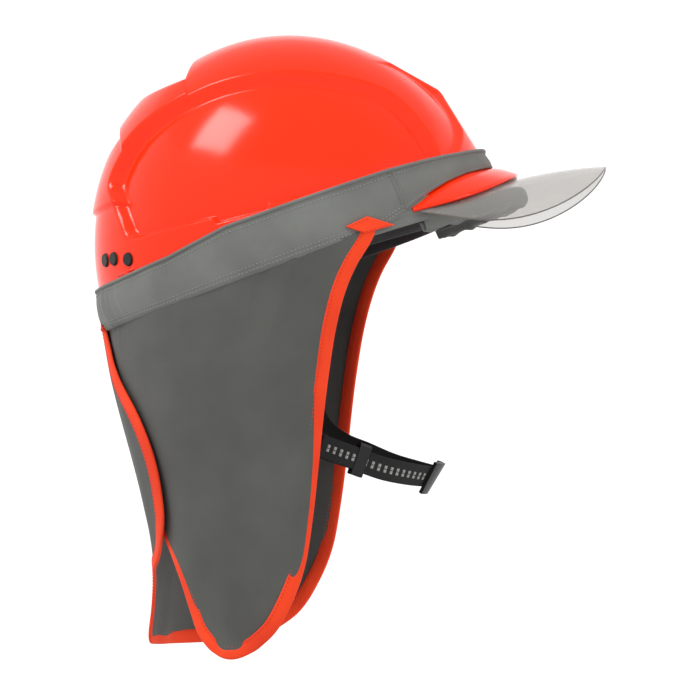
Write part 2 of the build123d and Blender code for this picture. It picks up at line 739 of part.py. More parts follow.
def strap_reach(angle):
    """Half-span of a crown strap from key to key, along its own upright plane."""
    planes = (key_plane(angle, 1), key_plane(180 - angle, -1))
    return [hat.to_local_coords(plane.origin + plane.z_dir * STRAP_DEPTH) for plane in planes]


def make_crown_strap(angle, layer, clearance=0.0):
    """One webbing strap from key to key over the crown; layer sets its height in the stack."""
    near, far = strap_reach(angle)
    middle = (near + far) / 2
    half_span = (near - far).length / 2
    along = hat_point(near.X, near.Y, 0) - hat_point(far.X, far.Y, 0)
    centre = hat_point(middle.X, middle.Y, KEY_BOTTOM - 4)
    plane = Plane(origin=centre, x_dir=along.normalized(), z_dir=along.cross(hat.z_dir).normalized())
    rise = STRAP_CROWN + layer * STRAP_STACK - KEY_BOTTOM + 4
    with BuildPart() as strap:
        with BuildSketch(plane):
            Ellipse(half_span + STRAP_THICK / 2 + clearance, rise + STRAP_THICK + clearance)
            Ellipse(half_span - STRAP_THICK / 2 - clearance, rise - clearance, mode=Mode.SUBTRACT)
            with Locations((0, -BIG / 2 - 3 * clearance)):
                Rectangle(BIG, BIG, mode=Mode.SUBTRACT)
        extrude(amount=STRAP_WIDTH / 2 + clearance, both=True)
    return strap.part


def make_crown_pad():
    """Round foam pad under the crossing of the crown straps."""
    top = STRAP_CROWN - 7.5
    with BuildPart() as pad:
        with BuildSketch(hat.offset(top - CROWN_PAD_THICK)):
            Circle(CROWN_PAD_RADIUS)
        extrude(amount=CROWN_PAD_THICK)
        fillet(pad.edges(), CROWN_PAD_THICK / 2 - 0.3)
    return pad.part


# ---------------------------------------------------------------- ratchet, modelled in the hat's frame
def ratchet_plane(depth):
    """Plane across the hat at a depth behind the ratchet's front face; X is the wearer's right."""
    origin = hat_point(RATCHET_FACE_X - depth, 0, RATCHET_AXIS_HEIGHT)
    return Plane(origin=origin, x_dir=(0, -1, 0), z_dir=hat.x_dir * -1)


pitch_radius = PINION_MODULE * PINION_TEETH / 2
tooth_pitch = math.pi * PINION_MODULE
rack_depth = CASE_PLATE + RACK_SIDE_GAP


def make_case_front():
    """Flat plate of the ratchet case, against the nape pad."""
    with BuildPart() as plate:
        with BuildSketch(ratchet_plane(0)):
            RectangleRounded(2 * CASE_HALF_WIDTH, 2 * CASE_HALF_HEIGHT, 6)
        extrude(amount=CASE_PLATE)
    return plate.part


def make_case_rear():
    """Hollow ratchet cover with side windows for the racks and the knob's bearing."""
    inner_depth = CASE_DEPTH - CASE_WALL - CASE_PLATE
    with BuildPart() as case:
        with BuildSketch(ratchet_plane(CASE_PLATE + 0.05)):
            RectangleRounded(2 * CASE_HALF_WIDTH, 2 * CASE_HALF_HEIGHT, 6)
        extrude(amount=CASE_DEPTH - CASE_PLATE - 0.05)
        with BuildSketch(ratchet_plane(CASE_PLATE)):
            RectangleRounded(2 * (CASE_HALF_WIDTH - CASE_WALL), 2 * (CASE_HALF_HEIGHT - CASE_WALL), 4)
        extrude(amount=inner_depth, mode=Mode.SUBTRACT)
        for side in (1, -1):
            middle = side * (pitch_radius + PINION_MODULE + RACK_BODY / 2)
            with BuildSketch(ratchet_plane(CASE_PLATE)):
                with Locations((-side * CASE_HALF_WIDTH, middle)):
                    Rectangle(4 * CASE_WALL, RACK_BODY + 3.2)
            extrude(amount=rack_depth + RACK_THICK - CASE_PLATE + 0.3, mode=Mode.SUBTRACT)
        with BuildSketch(ratchet_plane(0)):
            Circle(SHAFT_RADIUS + SHAFT_CLEARANCE)
        extrude(amount=2 * CASE_DEPTH, mode=Mode.SUBTRACT)
    return case.part


def rack_outline(side):
    """Toothed bar above or below the pinion, from its inner end to the bend."""
    sign = side
    line = sign * pitch_radius
    body_low, body_high = line + sign * 1.0, line + sign * (1.0 + RACK_BODY)
    with BuildSketch() as bar:
        start, end = RACK_REACH, -(TAIL_BEND_Y + 1)
        with BuildLine():
            Polyline(
                (sign * start, body_low), (sign * end, body_low), (sign * end, body_high), (sign * start, body_high),
                close=True,
            )
        make_face()
        count = 5
        for i in range(-count, count + 1):
            middle = i * tooth_pitch
            half_root, half_tip = 0.95, 0.42
            with BuildLine():
                Polyline(
                    (middle - half_root, body_low + sign * 0.1), (middle - half_tip, line - sign * 0.75),
                    (middle + half_tip, line - sign * 0.75), (middle + half_root, body_low + sign * 0.1), close=True,
                )
            make_face()
    return bar.sketch


def make_tail(side):
    """Left or right nape strap: a rack in the case and a bent end plate beside the headband."""
    end_x, end_y = TAIL_END
    middle_x = RATCHET_FACE_X - rack_depth - RACK_THICK / 2
    with BuildPart() as tail:
        with BuildSketch(ratchet_plane(rack_depth)):
            add(rack_outline(side))
        extrude(amount=RACK_THICK)
        with BuildSketch(hat.offset(TAIL_LOW)):
            with BuildLine():
                Polyline((middle_x, side * TAIL_BEND_Y), (middle_x + 3.5, side * (TAIL_BEND_Y + 8)), (end_x, side * end_y))
            trace(line_width=RACK_THICK)
        extrude(amount=TAIL_HIGH - TAIL_LOW)
    return tail.part


def make_pinion():
    """Twelve-tooth pinion on the knob's shaft, with involute flanks."""
    base = pitch_radius * math.cos(math.radians(20))
    tip = pitch_radius + 0.75 * PINION_MODULE
    root = pitch_radius - 1.15 * PINION_MODULE
    half_at_pitch = math.pi / 2 / PINION_TEETH * 0.84
    shift = math.tan(math.radians(20)) - math.radians(20)

    def flank(radius):
        pressure = math.acos(min(1.0, base / radius))
        half = half_at_pitch + shift - (math.tan(pressure) - pressure)
        return radius, half

    radii = [base, (base + pitch_radius) / 2, pitch_radius, (pitch_radius + tip) / 2, tip]
    right = [(root - 0.3, flank(base)[1]), *[flank(r) for r in radii]]
    outline = [*right, *[(r, -half) for r, half in reversed(right)]]
    with BuildPart() as pinion:
        with BuildSketch(ratchet_plane(rack_depth)):
            Circle(root)
            for i in range(PINION_TEETH):
                turn = 2 * math.pi * (i + 0.5) / PINION_TEETH + math.pi / 2
                with BuildLine():
                    Polyline(*[(r * math.cos(turn + h), r * math.sin(turn + h)) for r, h in outline], close=True)
                make_face()
        extrude(amount=RACK_THICK + 0.8)
    return pinion.part


def make_knob():
    """Ribbed hand knob with its shaft, which reaches through the case to the pinion."""
    start = CASE_DEPTH + KNOB_GAP
    shaft_start = rack_depth + RACK_THICK + 0.8
    with BuildPart() as knob:
        with BuildSketch(ratchet_plane(start)):
            Circle(KNOB_RADIUS)
        extrude(amount=KNOB_DEPTH)
        rim = knob.faces().sort_by(Axis(hat.origin, hat.x_dir)).first.edges()
        fillet(rim, 2.4)
        with BuildSketch(ratchet_plane(start - 1)) as grooves:
            for i in range(KNOB_RIBS):
                turn = 2 * math.pi * i / KNOB_RIBS
                with Locations((KNOB_RADIUS * math.cos(turn) * 1.03, KNOB_RADIUS * math.sin(turn) * 1.03)):
                    Circle(1.25)
        extrude(amount=KNOB_DEPTH + 2, mode=Mode.SUBTRACT)
        with BuildSketch(ratchet_plane(start + KNOB_DEPTH - 2)):
            Circle(SCREW_RADIUS + 1.6)
        extrude(amount=4, mode=Mode.SUBTRACT)
        with BuildSketch(ratchet_plane(shaft_start)):
            Circle(SHAFT_RADIUS)
        extrude(amount=start - shaft_start + 1)
    return knob.part


def make_knob_screw():
    """Cross-slot screw in the knob's middle."""
    start = CASE_DEPTH + KNOB_GAP + KNOB_DEPTH - 2
    with BuildPart() as screw:
        with BuildSketch(ratchet_plane(start)):
            Circle(SCREW_RADIUS + 1.2)
        extrude(amount=1.5)
        with BuildSketch(ratchet_plane(start + 0.7)):
            Rectangle(4.4, 0.9)
            Rectangle(0.9, 4.4)
        extrude(amount=2, mode=Mode.SUBTRACT)
    return screw.part


def make_nape_pad():
    """Foam pad between the ratchet and the head."""
    with BuildPart() as pad:
        with BuildSketch(ratchet_plane(-0.1)):
            RectangleRounded(2 * CASE_HALF_WIDTH + 8, 2 * CASE_HALF_HEIGHT + 2, 9)
        extrude(amount=-NAPE_PAD_THICK)
        fillet(pad.faces().sort_by(Axis(hat.origin, hat.x_dir)).last.edges(), 1.6)
    return pad.part


# ---------------------------------------------------------------- chin strap
anchor_face = HEADBAND_HALF_WIDTH + HEADBAND_THICK
hook_inner = anchor_face + ANCHOR_PLATE_THICK + HOOK_GAP
hook_outer = hook_inner + HOOK_THICK


def anchor_plane(side, out):
    """Upright plane at the chin-strap pivot, a distance out from the middle, facing outwards."""
    return Plane(origin=(ANCHOR_X, side * out, ANCHOR_Z), x_dir=(-side, 0, 0), z_dir=(0, side, 0))


def make_anchors():
    """Lug and headed pin on each side of the headband, for the chin strap's hooks."""
    with BuildPart() as anchors:
        for side in (1, -1):
            with BuildSketch(anchor_plane(side, anchor_face + 0.35)):
                with Locations((0, 6)):
                    RectangleRounded(13, 26, 4)
            extrude(amount=ANCHOR_PLATE_THICK - 0.35)
            with BuildSketch(anchor_plane(side, anchor_face + 1)):
                Circle(PIN_RADIUS)
            extrude(amount=hook_outer + HOOK_GAP - anchor_face - 1)
            with BuildSketch(anchor_plane(side, hook_outer + HOOK_GAP - 0.1)):
                Circle(PIN_RADIUS + 1.6)
            extrude(amount=1.4)
    return anchors.part


def make_hooks():
    """Hooks that turn on the anchor pins and hold the webbing's two ends."""
    with BuildPart() as hooks:
        for side in (1, -1):
            with BuildSketch(anchor_plane(side, hook_inner)):
                with Locations((0, -HOOK_LENGTH / 2 + 2)):
                    RectangleRounded(WEBBING_WIDTH + 3, HOOK_LENGTH + 8, 4)
                Circle(PIN_RADIUS + PIN_CLEARANCE, mode=Mode.SUBTRACT)
            extrude(amount=HOOK_THICK)
        for frames in (chin_frames[:2], chin_frames[-2:]):
            add(ribbon(frames, WEBBING_WIDTH + 0.6, WEBBING_THICK + 0.5, 0), mode=Mode.SUBTRACT)
    return hooks.part


def strap_frames(route):
    """Place, outward direction and width direction along the chin webbing, from side to side."""
    points = [Vector(*p) for p in route] + [Vector(x, -y, z) for x, y, z in reversed(route[:-1])]
    frames = []
    for i, point in enumerate(points):
        before, after = points[max(i - 1, 0)], points[min(i + 1, len(points) - 1)]
        tangent = (after - before).normalized()
        forward = max(0.0, (point.X - NECK_AXIS_X) / (route[-1][0] - NECK_AXIS_X))
        outwards = Vector(point.X - NECK_AXIS_X, point.Y, 0).normalized() + Vector(0, 0, -CHIN_TILT * forward**2)
        normal = (outwards - tangent * outwards.dot(tangent)).normalized()
        frames.append((point, normal, tangent))
    return frames


def ribbon(frames, width, thick, lift):
    """Flat webbing lofted through frames; lift moves it outwards from the route."""
    with BuildPart() as strip:
        for point, normal, tangent in frames:
            plane = Plane(origin=point + normal * lift, x_dir=normal, z_dir=tangent)
            with BuildSketch(plane):
                Rectangle(thick, width)
        loft()
    return strip.part


chin_frames = strap_frames(STRAP_ROUTE)


def make_webbing():
    """Elastic webbing from hook to hook, round under the chin."""
    return ribbon(chin_frames, WEBBING_WIDTH, WEBBING_THICK, 0)


def make_chin_cup():
    """Moulded cup on the outside of the webbing at the chin."""
    middle = len(chin_frames) // 2
    span = chin_frames[middle - 1: middle + 2]
    cup = ribbon(span, CHIN_CUP_WIDTH, CHIN_CUP_THICK, WEBBING_THICK / 2 + CHIN_CUP_THICK / 2 + 0.25)
    return cup


def slider_frame(shift):
    """Place and directions of the slider on the straight run of the webbing."""
    start, end = Vector(*STRAP_ROUTE[5]), Vector(*STRAP_ROUTE[7])
    tangent = (end - start).normalized()
    point = start + tangent * ((Vector(*SLIDER_POINT) - start).dot(tangent) + shift)
    normal = chin_frames[6][1]
    normal = (normal - tangent * normal.dot(tangent)).normalized()
    return point, normal, tangent


def make_slider():
    """Three-bar slider that the webbing runs through."""
    point, normal, tangent = slider_frame(-SLIDER_LENGTH / 2)
    plane = Plane(origin=point + normal * 0.9, x_dir=normal, z_dir=tangent)
    with BuildPart() as slider:
        with BuildSketch(plane):
            RectangleRounded(SLIDER_THICK + 2.4, WEBBING_WIDTH + 6.4, 1.6)
        extrude(amount=SLIDER_LENGTH)
        with BuildSketch(Plane(origin=point, x_dir=normal, z_dir=tangent)):
            with Locations((0.6, 0)):
                Rectangle(WEBBING_THICK + 2 * SLIDER_CLEARANCE + 1.2, WEBBING_WIDTH + 2 * SLIDER_CLEARANCE)
        extrude(amount=BIG / 8, both=True, mode=Mode.SUBTRACT)
    return slider.part


def make_strap_tail():
    """Free end of the webbing, doubled back over the outside from the slider."""
    frames = []
    for shift in (-SLIDER_LENGTH / 2, -SLIDER_LENGTH / 2 - TAIL_STRIP_LENGTH / 2, -SLIDER_LENGTH / 2 - TAIL_STRIP_LENGTH):
        point, normal, tangent = slider_frame(shift)
        frames.append((point, normal, tangent))
    return ribbon(frames, WEBBING_WIDTH, WEBBING_THICK, WEBBING_THICK + 2.2)


# ---------------------------------------------------------------- write the parts
def write(part, name):
    part.label = name
    export_step(part, f"{PARTS}/{name}.step")


def main():
    os.makedirs(PARTS, exist_ok=True)
    write(make_shell(), "shell")
    write(make_vent_plugs(), "vent_plugs")
    write(make_clear_peak(), "clear_peak")
    write(make_brim_sleeve(), "brim_sleeve")
    write(make_band_rear(), "cover_band_rear")
    write(make_band_front(), "cover_band_front")
    write(make_elastic(), "hem_elastic")
    write(make_flap(-1, BINDING_WIDTH), "neck_flap_right")
    write(make_flap(1, BINDING_WIDTH), "neck_flap_left")
    write(make_binding(-1), "flap_binding_right")
    write(make_binding(1), "flap_binding_left")
    write(make_headband(), "headband")
    write(make_sweatband(), "sweatband")
    write(make_keys(), "harness_keys")
    write(make_crown_strap(KEY_ANGLES[0], 0), "crown_strap_lower")
    write(make_crown_strap(KEY_ANGLES[1], 1), "crown_strap_middle")
    write(make_crown_strap(KEY_ANGLES[2], 2), "crown_strap_upper")
    write(make_crown_pad(), "crown_pad")
    write(make_case_front(), "ratchet_case_front")
    write(make_case_rear(), "ratchet_case_rear")
    write(make_tail(1), "nape_strap_left")
    write(make_tail(-1), "nape_strap_right")
    write(make_pinion(), "ratchet_pinion")
    write(make_knob(), "ratchet_knob")
    write(make_knob_screw(), "knob_screw")
    write(make_nape_pad(), "nape_pad")
    write(make_anchors(), "chin_anchors")
    write(make_hooks(), "chin_hooks")
    write(make_webbing(), "chin_webbing")
    write(make_chin_cup(), "chin_cup")
    write(make_slider(), "chin_slider")
    write(make_strap_tail(), "chin_strap_tail")


main()
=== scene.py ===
import json
import math

import bmesh
import bpy
import numpy as np
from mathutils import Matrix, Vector


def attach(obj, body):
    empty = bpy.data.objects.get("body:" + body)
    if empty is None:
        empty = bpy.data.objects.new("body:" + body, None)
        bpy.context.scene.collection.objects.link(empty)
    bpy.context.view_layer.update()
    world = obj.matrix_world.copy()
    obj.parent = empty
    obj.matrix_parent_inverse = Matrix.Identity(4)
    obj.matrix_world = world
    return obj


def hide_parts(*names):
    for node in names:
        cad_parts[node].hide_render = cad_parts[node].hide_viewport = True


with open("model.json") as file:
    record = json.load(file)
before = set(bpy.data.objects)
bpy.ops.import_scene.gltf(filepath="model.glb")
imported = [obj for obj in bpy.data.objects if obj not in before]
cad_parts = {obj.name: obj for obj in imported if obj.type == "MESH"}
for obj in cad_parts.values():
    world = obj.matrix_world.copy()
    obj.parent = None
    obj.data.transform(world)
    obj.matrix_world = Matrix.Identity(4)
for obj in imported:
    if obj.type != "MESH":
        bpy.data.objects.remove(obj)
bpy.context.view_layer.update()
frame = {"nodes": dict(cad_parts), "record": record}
nodes = frame["nodes"]

# ---------------------------------------------------------------- the hat's own frame, in mm
TILT = math.radians(18)
COS_T, SIN_T = math.cos(TILT), math.sin(TILT)
DOME_X = 2.0
AX, AY, AZ = 134.0, 107.0, 146.0
MM = 0.001


def mesh_object(name, verts, faces):
    data = bpy.data.meshes.new(name)
    data.from_pydata([tuple(v) for v in verts], [], faces)
    data.update()
    data.polygons.foreach_set("use_smooth", [True] * len(data.polygons))
    obj = bpy.data.objects.new(name, data)
    bpy.context.collection.objects.link(obj)
    return obj


def outward(obj):
    bm = bmesh.new()
    bm.from_mesh(obj.data)
    bmesh.ops.recalc_face_normals(bm, faces=bm.faces)
    bm.to_mesh(obj.data)
    bm.free()


# ---------------------------------------------------------------- materials
def principled(name, colour, rough, **extra):
    mat = bpy.data.materials.new(name)
    mat.use_nodes = True
    bsdf = mat.node_tree.nodes["Principled BSDF"]
    bsdf.inputs["Base Color"].default_value = (*colour, 1)
    bsdf.inputs["Roughness"].default_value = rough
    for key, value in extra.items():
        bsdf.inputs[key.replace("_", " ")].default_value = value
    return mat


def link(mat, a, out, b, into):
    mat.node_tree.links.new(a.outputs[out], b.inputs[into])


def new_node(mat, kind, **settings):
    node = mat.node_tree.nodes.new(kind)
    for key, value in settings.items():
        setattr(node, key, value)
    return node


def bump_from(mat, source, out, strength, distance):
    bump = new_node(mat, "ShaderNodeBump")
    bump.inputs["Strength"].default_value = strength
    bump.inputs["Distance"].default_value = distance
    link(mat, source, out, bump, "Height")
    link(mat, bump, "Normal", mat.node_tree.nodes["Principled BSDF"], "Normal")


shell_mat = principled("shell_plastic", (0.9, 0.024, 0.0004), 0.16, Specular_IOR_Level=0.26)
shell_noise = new_node(shell_mat, "ShaderNodeTexNoise")
shell_noise.inputs["Scale"].default_value = 55
shell_noise.inputs["Detail"].default_value = 3
bump_from(shell_mat, shell_noise, "Fac", 0.05, 0.0006)

black_mat = principled("black_plastic", (0.006, 0.006, 0.006), 0.42, Specular_IOR_Level=0.3)
grey_plastic_mat = principled("harness_plastic", (0.035, 0.035, 0.038), 0.5)
screw_mat = principled("screw_steel", (0.55, 0.55, 0.55), 0.3, Metallic=1.0)
elastic_mat = principled("elastic", (0.02, 0.02, 0.02), 0.8)


def cloth_material(name, colour, dark, scale, sheen):
    """Woven cloth: a fine grid of threads with soft uneven colour."""
    mat = principled(name, colour, 0.92, Sheen_Weight=sheen, Sheen_Roughness=0.5)
    coord = new_node(mat, "ShaderNodeTexCoord")
    waves = []
    for axis in ("X", "Z"):
        wave = new_node(mat, "ShaderNodeTexWave", bands_direction=axis)
        wave.inputs["Scale"].default_value = scale
        wave.inputs["Distortion"].default_value = 0.6
        wave.inputs["Detail"].default_value = 2
        link(mat, coord, "Object", wave, "Vector")
        waves.append(wave)
    weave = new_node(mat, "ShaderNodeMath", operation="MULTIPLY")
    link(mat, waves[0], "Fac", weave, 0)
    link(mat, waves[1], "Fac", weave, 1)
    soft = new_node(mat, "ShaderNodeTexNoise")
    soft.inputs["Scale"].default_value = 26
    soft.inputs["Detail"].default_value = 5
    link(mat, coord, "Object", soft, "Vector")
    tint = new_node(mat, "ShaderNodeMapRange")
    tint.inputs["From Min"].default_value = 0.3
    tint.inputs["From Max"].default_value = 0.7
    link(mat, soft, "Fac", tint, "Value")
    mix = new_node(mat, "ShaderNodeMix", data_type="RGBA")
    mix.inputs["A"].default_value = (*dark, 1)
    mix.inputs["B"].default_value = (*colour, 1)
    link(mat, tint, "Result", mix, "Factor")
    mix_out = mix.outputs["Result"]
    mat.node_tree.links.new(mix_out, mat.node_tree.nodes["Principled BSDF"].inputs["Base Color"])
    bump_from(mat, weave, "Value", 0.35, 0.0004)
    return mat


cloth_mat = cloth_material("cover_fabric", (0.15, 0.154, 0.143), (0.115, 0.118, 0.109), 420, 0.08)
# The flaps are the same cloth as the cover. Their darker colour is painted shade for hanging flaps that face away from
# the light above.
flap_shaded_mat = cloth_material("flap_painted_shade_fabric", (0.082, 0.082, 0.076), (0.064, 0.064, 0.059), 420, 0.03)
binding_mat = cloth_material("binding_tape", (0.84, 0.05, 0.004), (0.7, 0.032, 0.002), 520, 0.02)
padding_mat = cloth_material("padding", (0.03, 0.03, 0.032), (0.02, 0.02, 0.022), 300, 0.2)
thread_mat = principled("thread", (0.24, 0.245, 0.225), 0.8)
webbing_mat = cloth_material("webbing", (0.01, 0.01, 0.01), (0.006, 0.006, 0.006), 700, 0.0)

clear_mat = principled("clear_sheet", (0.5, 0.49, 0.47), 0.07, IOR=1.45)
clear_nodes = clear_mat.node_tree.nodes
clear_out = clear_nodes["Material Output"]
see_through = new_node(clear_mat, "ShaderNodeBsdfTransparent")
see_through.inputs["Color"].default_value = (0.9, 0.895, 0.885, 1)
facing = new_node(clear_mat, "ShaderNodeLayerWeight")
facing.inputs["Blend"].default_value = 0.32
strength = new_node(clear_mat, "ShaderNodeMapRange")
strength.inputs["To Min"].default_value = 0.07
strength.inputs["To Max"].default_value = 0.4
link(clear_mat, facing, "Facing", strength, "Value")
blend = new_node(clear_mat, "ShaderNodeMixShader")
link(clear_mat, strength, "Result", blend, "Fac")
link(clear_mat, see_through, "BSDF", blend, 1)
link(clear_mat, clear_nodes["Principled BSDF"], "BSDF", blend, 2)
link(clear_mat, blend, "Shader", clear_out, "Surface")

SLOT_MATERIALS = {
    "shell_plastic": shell_mat, "black_plastic": black_mat, "harness_plastic": grey_plastic_mat,
    "clear_sheet": clear_mat, "cover_fabric": cloth_mat, "binding_tape": binding_mat, "elastic": elastic_mat,
    "webbing": webbing_mat, "padding": padding_mat, "screw_steel": screw_mat,
}
for part in frame["record"]["subparts"]:
    data = nodes[part["node"]].data
    data.materials.clear()
    data.materials.append(SLOT_MATERIALS[part["material_slot"]])

# ---------------------------------------------------------------- stage, camera and light
STAGE_DROP, STAGE_SIDES = 1.5, 64
BOWL = [(0, 0), (2.6, 0), (4.0, 0.12), (5.0, 0.55), (5.7, 1.3), (6.0, 2.4), (6.0, 6.0)]
bowl_turns = [k * 2 * math.pi / STAGE_SIDES for k in range(STAGE_SIDES)]
bowl_points = [(r * math.cos(t), r * math.sin(t), z - STAGE_DROP) for r, z in BOWL for t in bowl_turns]
bowl_faces = []
for i in range(len(BOWL) - 1):
    low_ring, high_ring = i * STAGE_SIDES, (i + 1) * STAGE_SIDES
    for k in range(STAGE_SIDES):
        after = (k + 1) % STAGE_SIDES
        bowl_faces.append((low_ring + k, low_ring + after, high_ring + after, high_ring + k))
floor = mesh_object("floor", bowl_points, bowl_faces)
floor_mat = principled("floor", (0.42, 0.42, 0.42), 1.0, Specular_IOR_Level=0.0, Emission_Color=(1, 1, 1, 1))
floor_place = new_node(floor_mat, "ShaderNodeTexCoord")
floor_reach = new_node(floor_mat, "ShaderNodeVectorMath", operation="LENGTH")
floor_glow = new_node(floor_mat, "ShaderNodeMapRange", interpolation_type="SMOOTHSTEP")
for key, value in (("From Min", 0.9), ("From Max", 3.4), ("To Min", 0.0), ("To Max", 0.7)):
    floor_glow.inputs[key].default_value = value
link(floor_mat, floor_place, "Object", floor_reach, "Vector")
link(floor_mat, floor_reach, "Value", floor_glow, "Value")
link(floor_mat, floor_glow, "Result", floor_mat.node_tree.nodes["Principled BSDF"], "Emission Strength")
floor.data.materials.append(floor_mat)

AZ_CAM, DISTANCE, VIEW_WIDTH = math.radians(5), 2.5, 462 * MM
SENSOR = 36
right = Vector((math.cos(AZ_CAM), math.sin(AZ_CAM), 0))
ahead = Vector((-math.sin(AZ_CAM), math.cos(AZ_CAM), 0))
cam_data = bpy.data.cameras.new("camera")
cam_data.sensor_width = SENSOR
cam_data.lens = SENSOR * DISTANCE / VIEW_WIDTH
cam_data.clip_end = 60
cam = bpy.data.objects.new("camera", cam_data)
bpy.context.collection.objects.link(cam)
cam.location = right * 0.0356 + Vector((0, 0, -0.062)) - ahead * DISTANCE
cam.rotation_euler = (math.radians(90), 0, AZ_CAM)
bpy.context.scene.camera = cam

world = bpy.data.worlds.new("world")
world.use_nodes = True
world.node_tree.nodes["Background"].inputs["Color"].default_value = (1, 1, 1, 1)
world.node_tree.nodes["Background"].inputs["Strength"].default_value = 0.75
bpy.context.scene.world = world
bpy.context.scene.view_settings.view_transform = "Standard"


def area_light(name, where, at, size, power):
    data = bpy.data.lights.new(name, "AREA")
    data.shape = "RECTANGLE"
    data.size = size
    data.size_y = size
    data.energy = power
    obj = bpy.data.objects.new(name, data)
    obj.location = where
    obj.rotation_euler = (Vector(at) - Vector(where)).to_track_quat("-Z", "Y").to_euler()
    bpy.context.collection.objects.link(obj)


area_light("key", (-1.3, -0.9, 1.9), (0, 0, 0), 0.9, 36)
area_light("front", (1.9, -0.9, 1.0), (0.05, 0, 0), 0.7, 12)


# ---------------------------------------------------------------- mesh helpers; points are mm in the row's frame
def hat_points(p):
    """Row-frame mm from an array of hat-frame mm."""
    p = np.asarray(p, float)
    out = np.empty_like(p)
    out[..., 0] = p[..., 0] * COS_T - p[..., 2] * SIN_T
    out[..., 1] = p[..., 1]
    out[..., 2] = p[..., 0] * SIN_T + p[..., 2] * COS_T
    return out


def unit(v):
    return v / np.maximum(np.linalg.norm(v, axis=-1, keepdims=True), 1e-9)


def make_piece(name, parts, material, body, replaces=()):
    """One object from a list of (points, faces) in mm, riding on a body."""
    verts, faces, base = [], [], 0
    for points, quads in parts:
        verts.append(np.asarray(points, float).reshape(-1, 3))
        faces += [tuple(i + base for i in f) for f in quads]
        base += len(verts[-1])
    obj = mesh_object(name, np.concatenate(verts) * MM, faces)
    outward(obj)
    obj.data.materials.append(material)
    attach(obj, body)
    if replaces:
        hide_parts(*replaces)
    return obj


def grid_faces(n, m, wrap_u=False, wrap_v=False, base=0, flip=False):
    faces = []
    for i in range(n if wrap_u else n - 1):
        a, b = i * m, ((i + 1) % n) * m
        for j in range(m if wrap_v else m - 1):
            k = (j + 1) % m
            face = (base + a + j, base + b + j, base + b + k, base + a + k)
            faces.append(face[::-1] if flip else face)
    return faces


def end_faces(n, m):
    """Faces that close both ends of a swept ring of m points, n rings long."""
    return [tuple(range(m)), tuple((n - 1) * m + j for j in range(m - 1, -1, -1))]


def grid_normals(p):
    du, dv = np.gradient(p, axis=0), np.gradient(p, axis=1)
    return unit(np.cross(du, dv))


def thick_sheet(p, thick, side=0.5):
    """Closed thin solid round a grid of points; side is the share of the thickness on the normal's side."""
    n, m = p.shape[:2]
    normal = grid_normals(p)
    outer, inner = p + normal * thick * side, p - normal * thick * (1 - side)
    faces = grid_faces(n, m) + grid_faces(n, m, base=n * m, flip=True)
    ring = [(i, 0) for i in range(n)] + [(n - 1, j) for j in range(1, m)]
    ring += [(i, m - 1) for i in range(n - 2, -1, -1)] + [(0, j) for j in range(m - 2, 0, -1)]
    ids = [i * m + j for i, j in ring]
    for a, b in zip(ids, ids[1:] + ids[:1]):
        faces.append((a, b, b + n * m, a + n * m))
    return np.concatenate([outer.reshape(-1, 3), inner.reshape(-1, 3)]), faces


def sweep(points, across, up, profile):
    """Closed profile of (across, up) offsets carried along a line of points."""
    points, across, up = (np.asarray(a, float) for a in (points, across, up))
    prof = np.asarray(profile, float)
    p = points[:, None] + across[:, None] * prof[None, :, :1] + up[:, None] * prof[None, :, 1:]
    n, m = p.shape[:2]
    return p.reshape(-1, 3), grid_faces(n, m, wrap_v=True) + end_faces(n, m)


def circle_profile(radius, count, flat):
    turn = np.arange(count) * 2 * math.pi / count
    return np.stack([np.cos(turn) * radius, np.sin(turn) * radius * flat], -1)


def tube(points, radius, up, count=8, flat=1.0):
    points = np.asarray(points, float)
    along = unit(np.gradient(points, axis=0))
    up = unit(np.asarray(up, float) - along * (np.asarray(up, float) * along).sum(-1, keepdims=True))
    return sweep(points, np.cross(along, up), up, circle_profile(radius, count, flat))


def resample(points, spacing):
    points = np.asarray(points, float)
    run = np.concatenate([[0], np.cumsum(np.linalg.norm(np.diff(points, axis=0), axis=-1))])
    count = max(2, int(round(run[-1] / spacing)) + 1)
    at = np.linspace(0, run[-1], count)
    return np.stack([np.interp(at, run, points[:, k]) for k in range(points.shape[1])], -1), run[-1]


def spline(points, count):
    """Smooth line through control points, Catmull-Rom over the chord length."""
    p = np.asarray(points, float)
    run = np.concatenate([[0], np.cumsum(np.linalg.norm(np.diff(p, axis=0), axis=-1) ** 0.7)])
    slope = np.gradient(p, run, axis=0)
    at = np.linspace(0, run[-1], count)
    k = np.clip(np.searchsorted(run, at, side="right") - 1, 0, len(p) - 2)
    width = (run[k + 1] - run[k])[:, None]
    t = ((at - run[k]) / (run[k + 1] - run[k]))[:, None]
    h = (2 * t**3 - 3 * t**2 + 1) * p[k] + (t**3 - 2 * t**2 + t) * width * slope[k]
    return h + (3 * t**2 - 2 * t**3) * p[k + 1] + (t**3 - t**2) * width * slope[k + 1]


def stitch_run(points, up, pitch=2.6, share=0.62, radius=0.28):
    """A row of small raised stitches along a line of points."""
    points, length = resample(np.concatenate([points, up], -1), pitch / 6)
    centre, up = points[:, :3], unit(points[:, 3:])
    parts, step = [], 6
    for i in range(0, len(centre) - step, step):
        piece = centre[i: i + max(3, int(step * share) + 1)]
        lift = np.sin(np.linspace(0, math.pi, len(piece)))[:, None] * 0.12
        parts.append(tube(piece + up[i: i + len(piece)] * lift, radius, up[i: i + len(piece)], 5, 0.7))
    return parts


# ---------------------------------------------------------------- shell, as a height field over directions
def smooth_step(x):
    x = np.clip(x, 0, 1)
    return x * x * (3 - 2 * x)


def smooth_min(a, b, k):
    h = np.clip(0.5 + 0.5 * (b - a) / k, 0, 1)
    return b * (1 - h) + a * h - k * h * (1 - h)


def smooth_max(a, b, k):
    return -smooth_min(-a, -b, k)


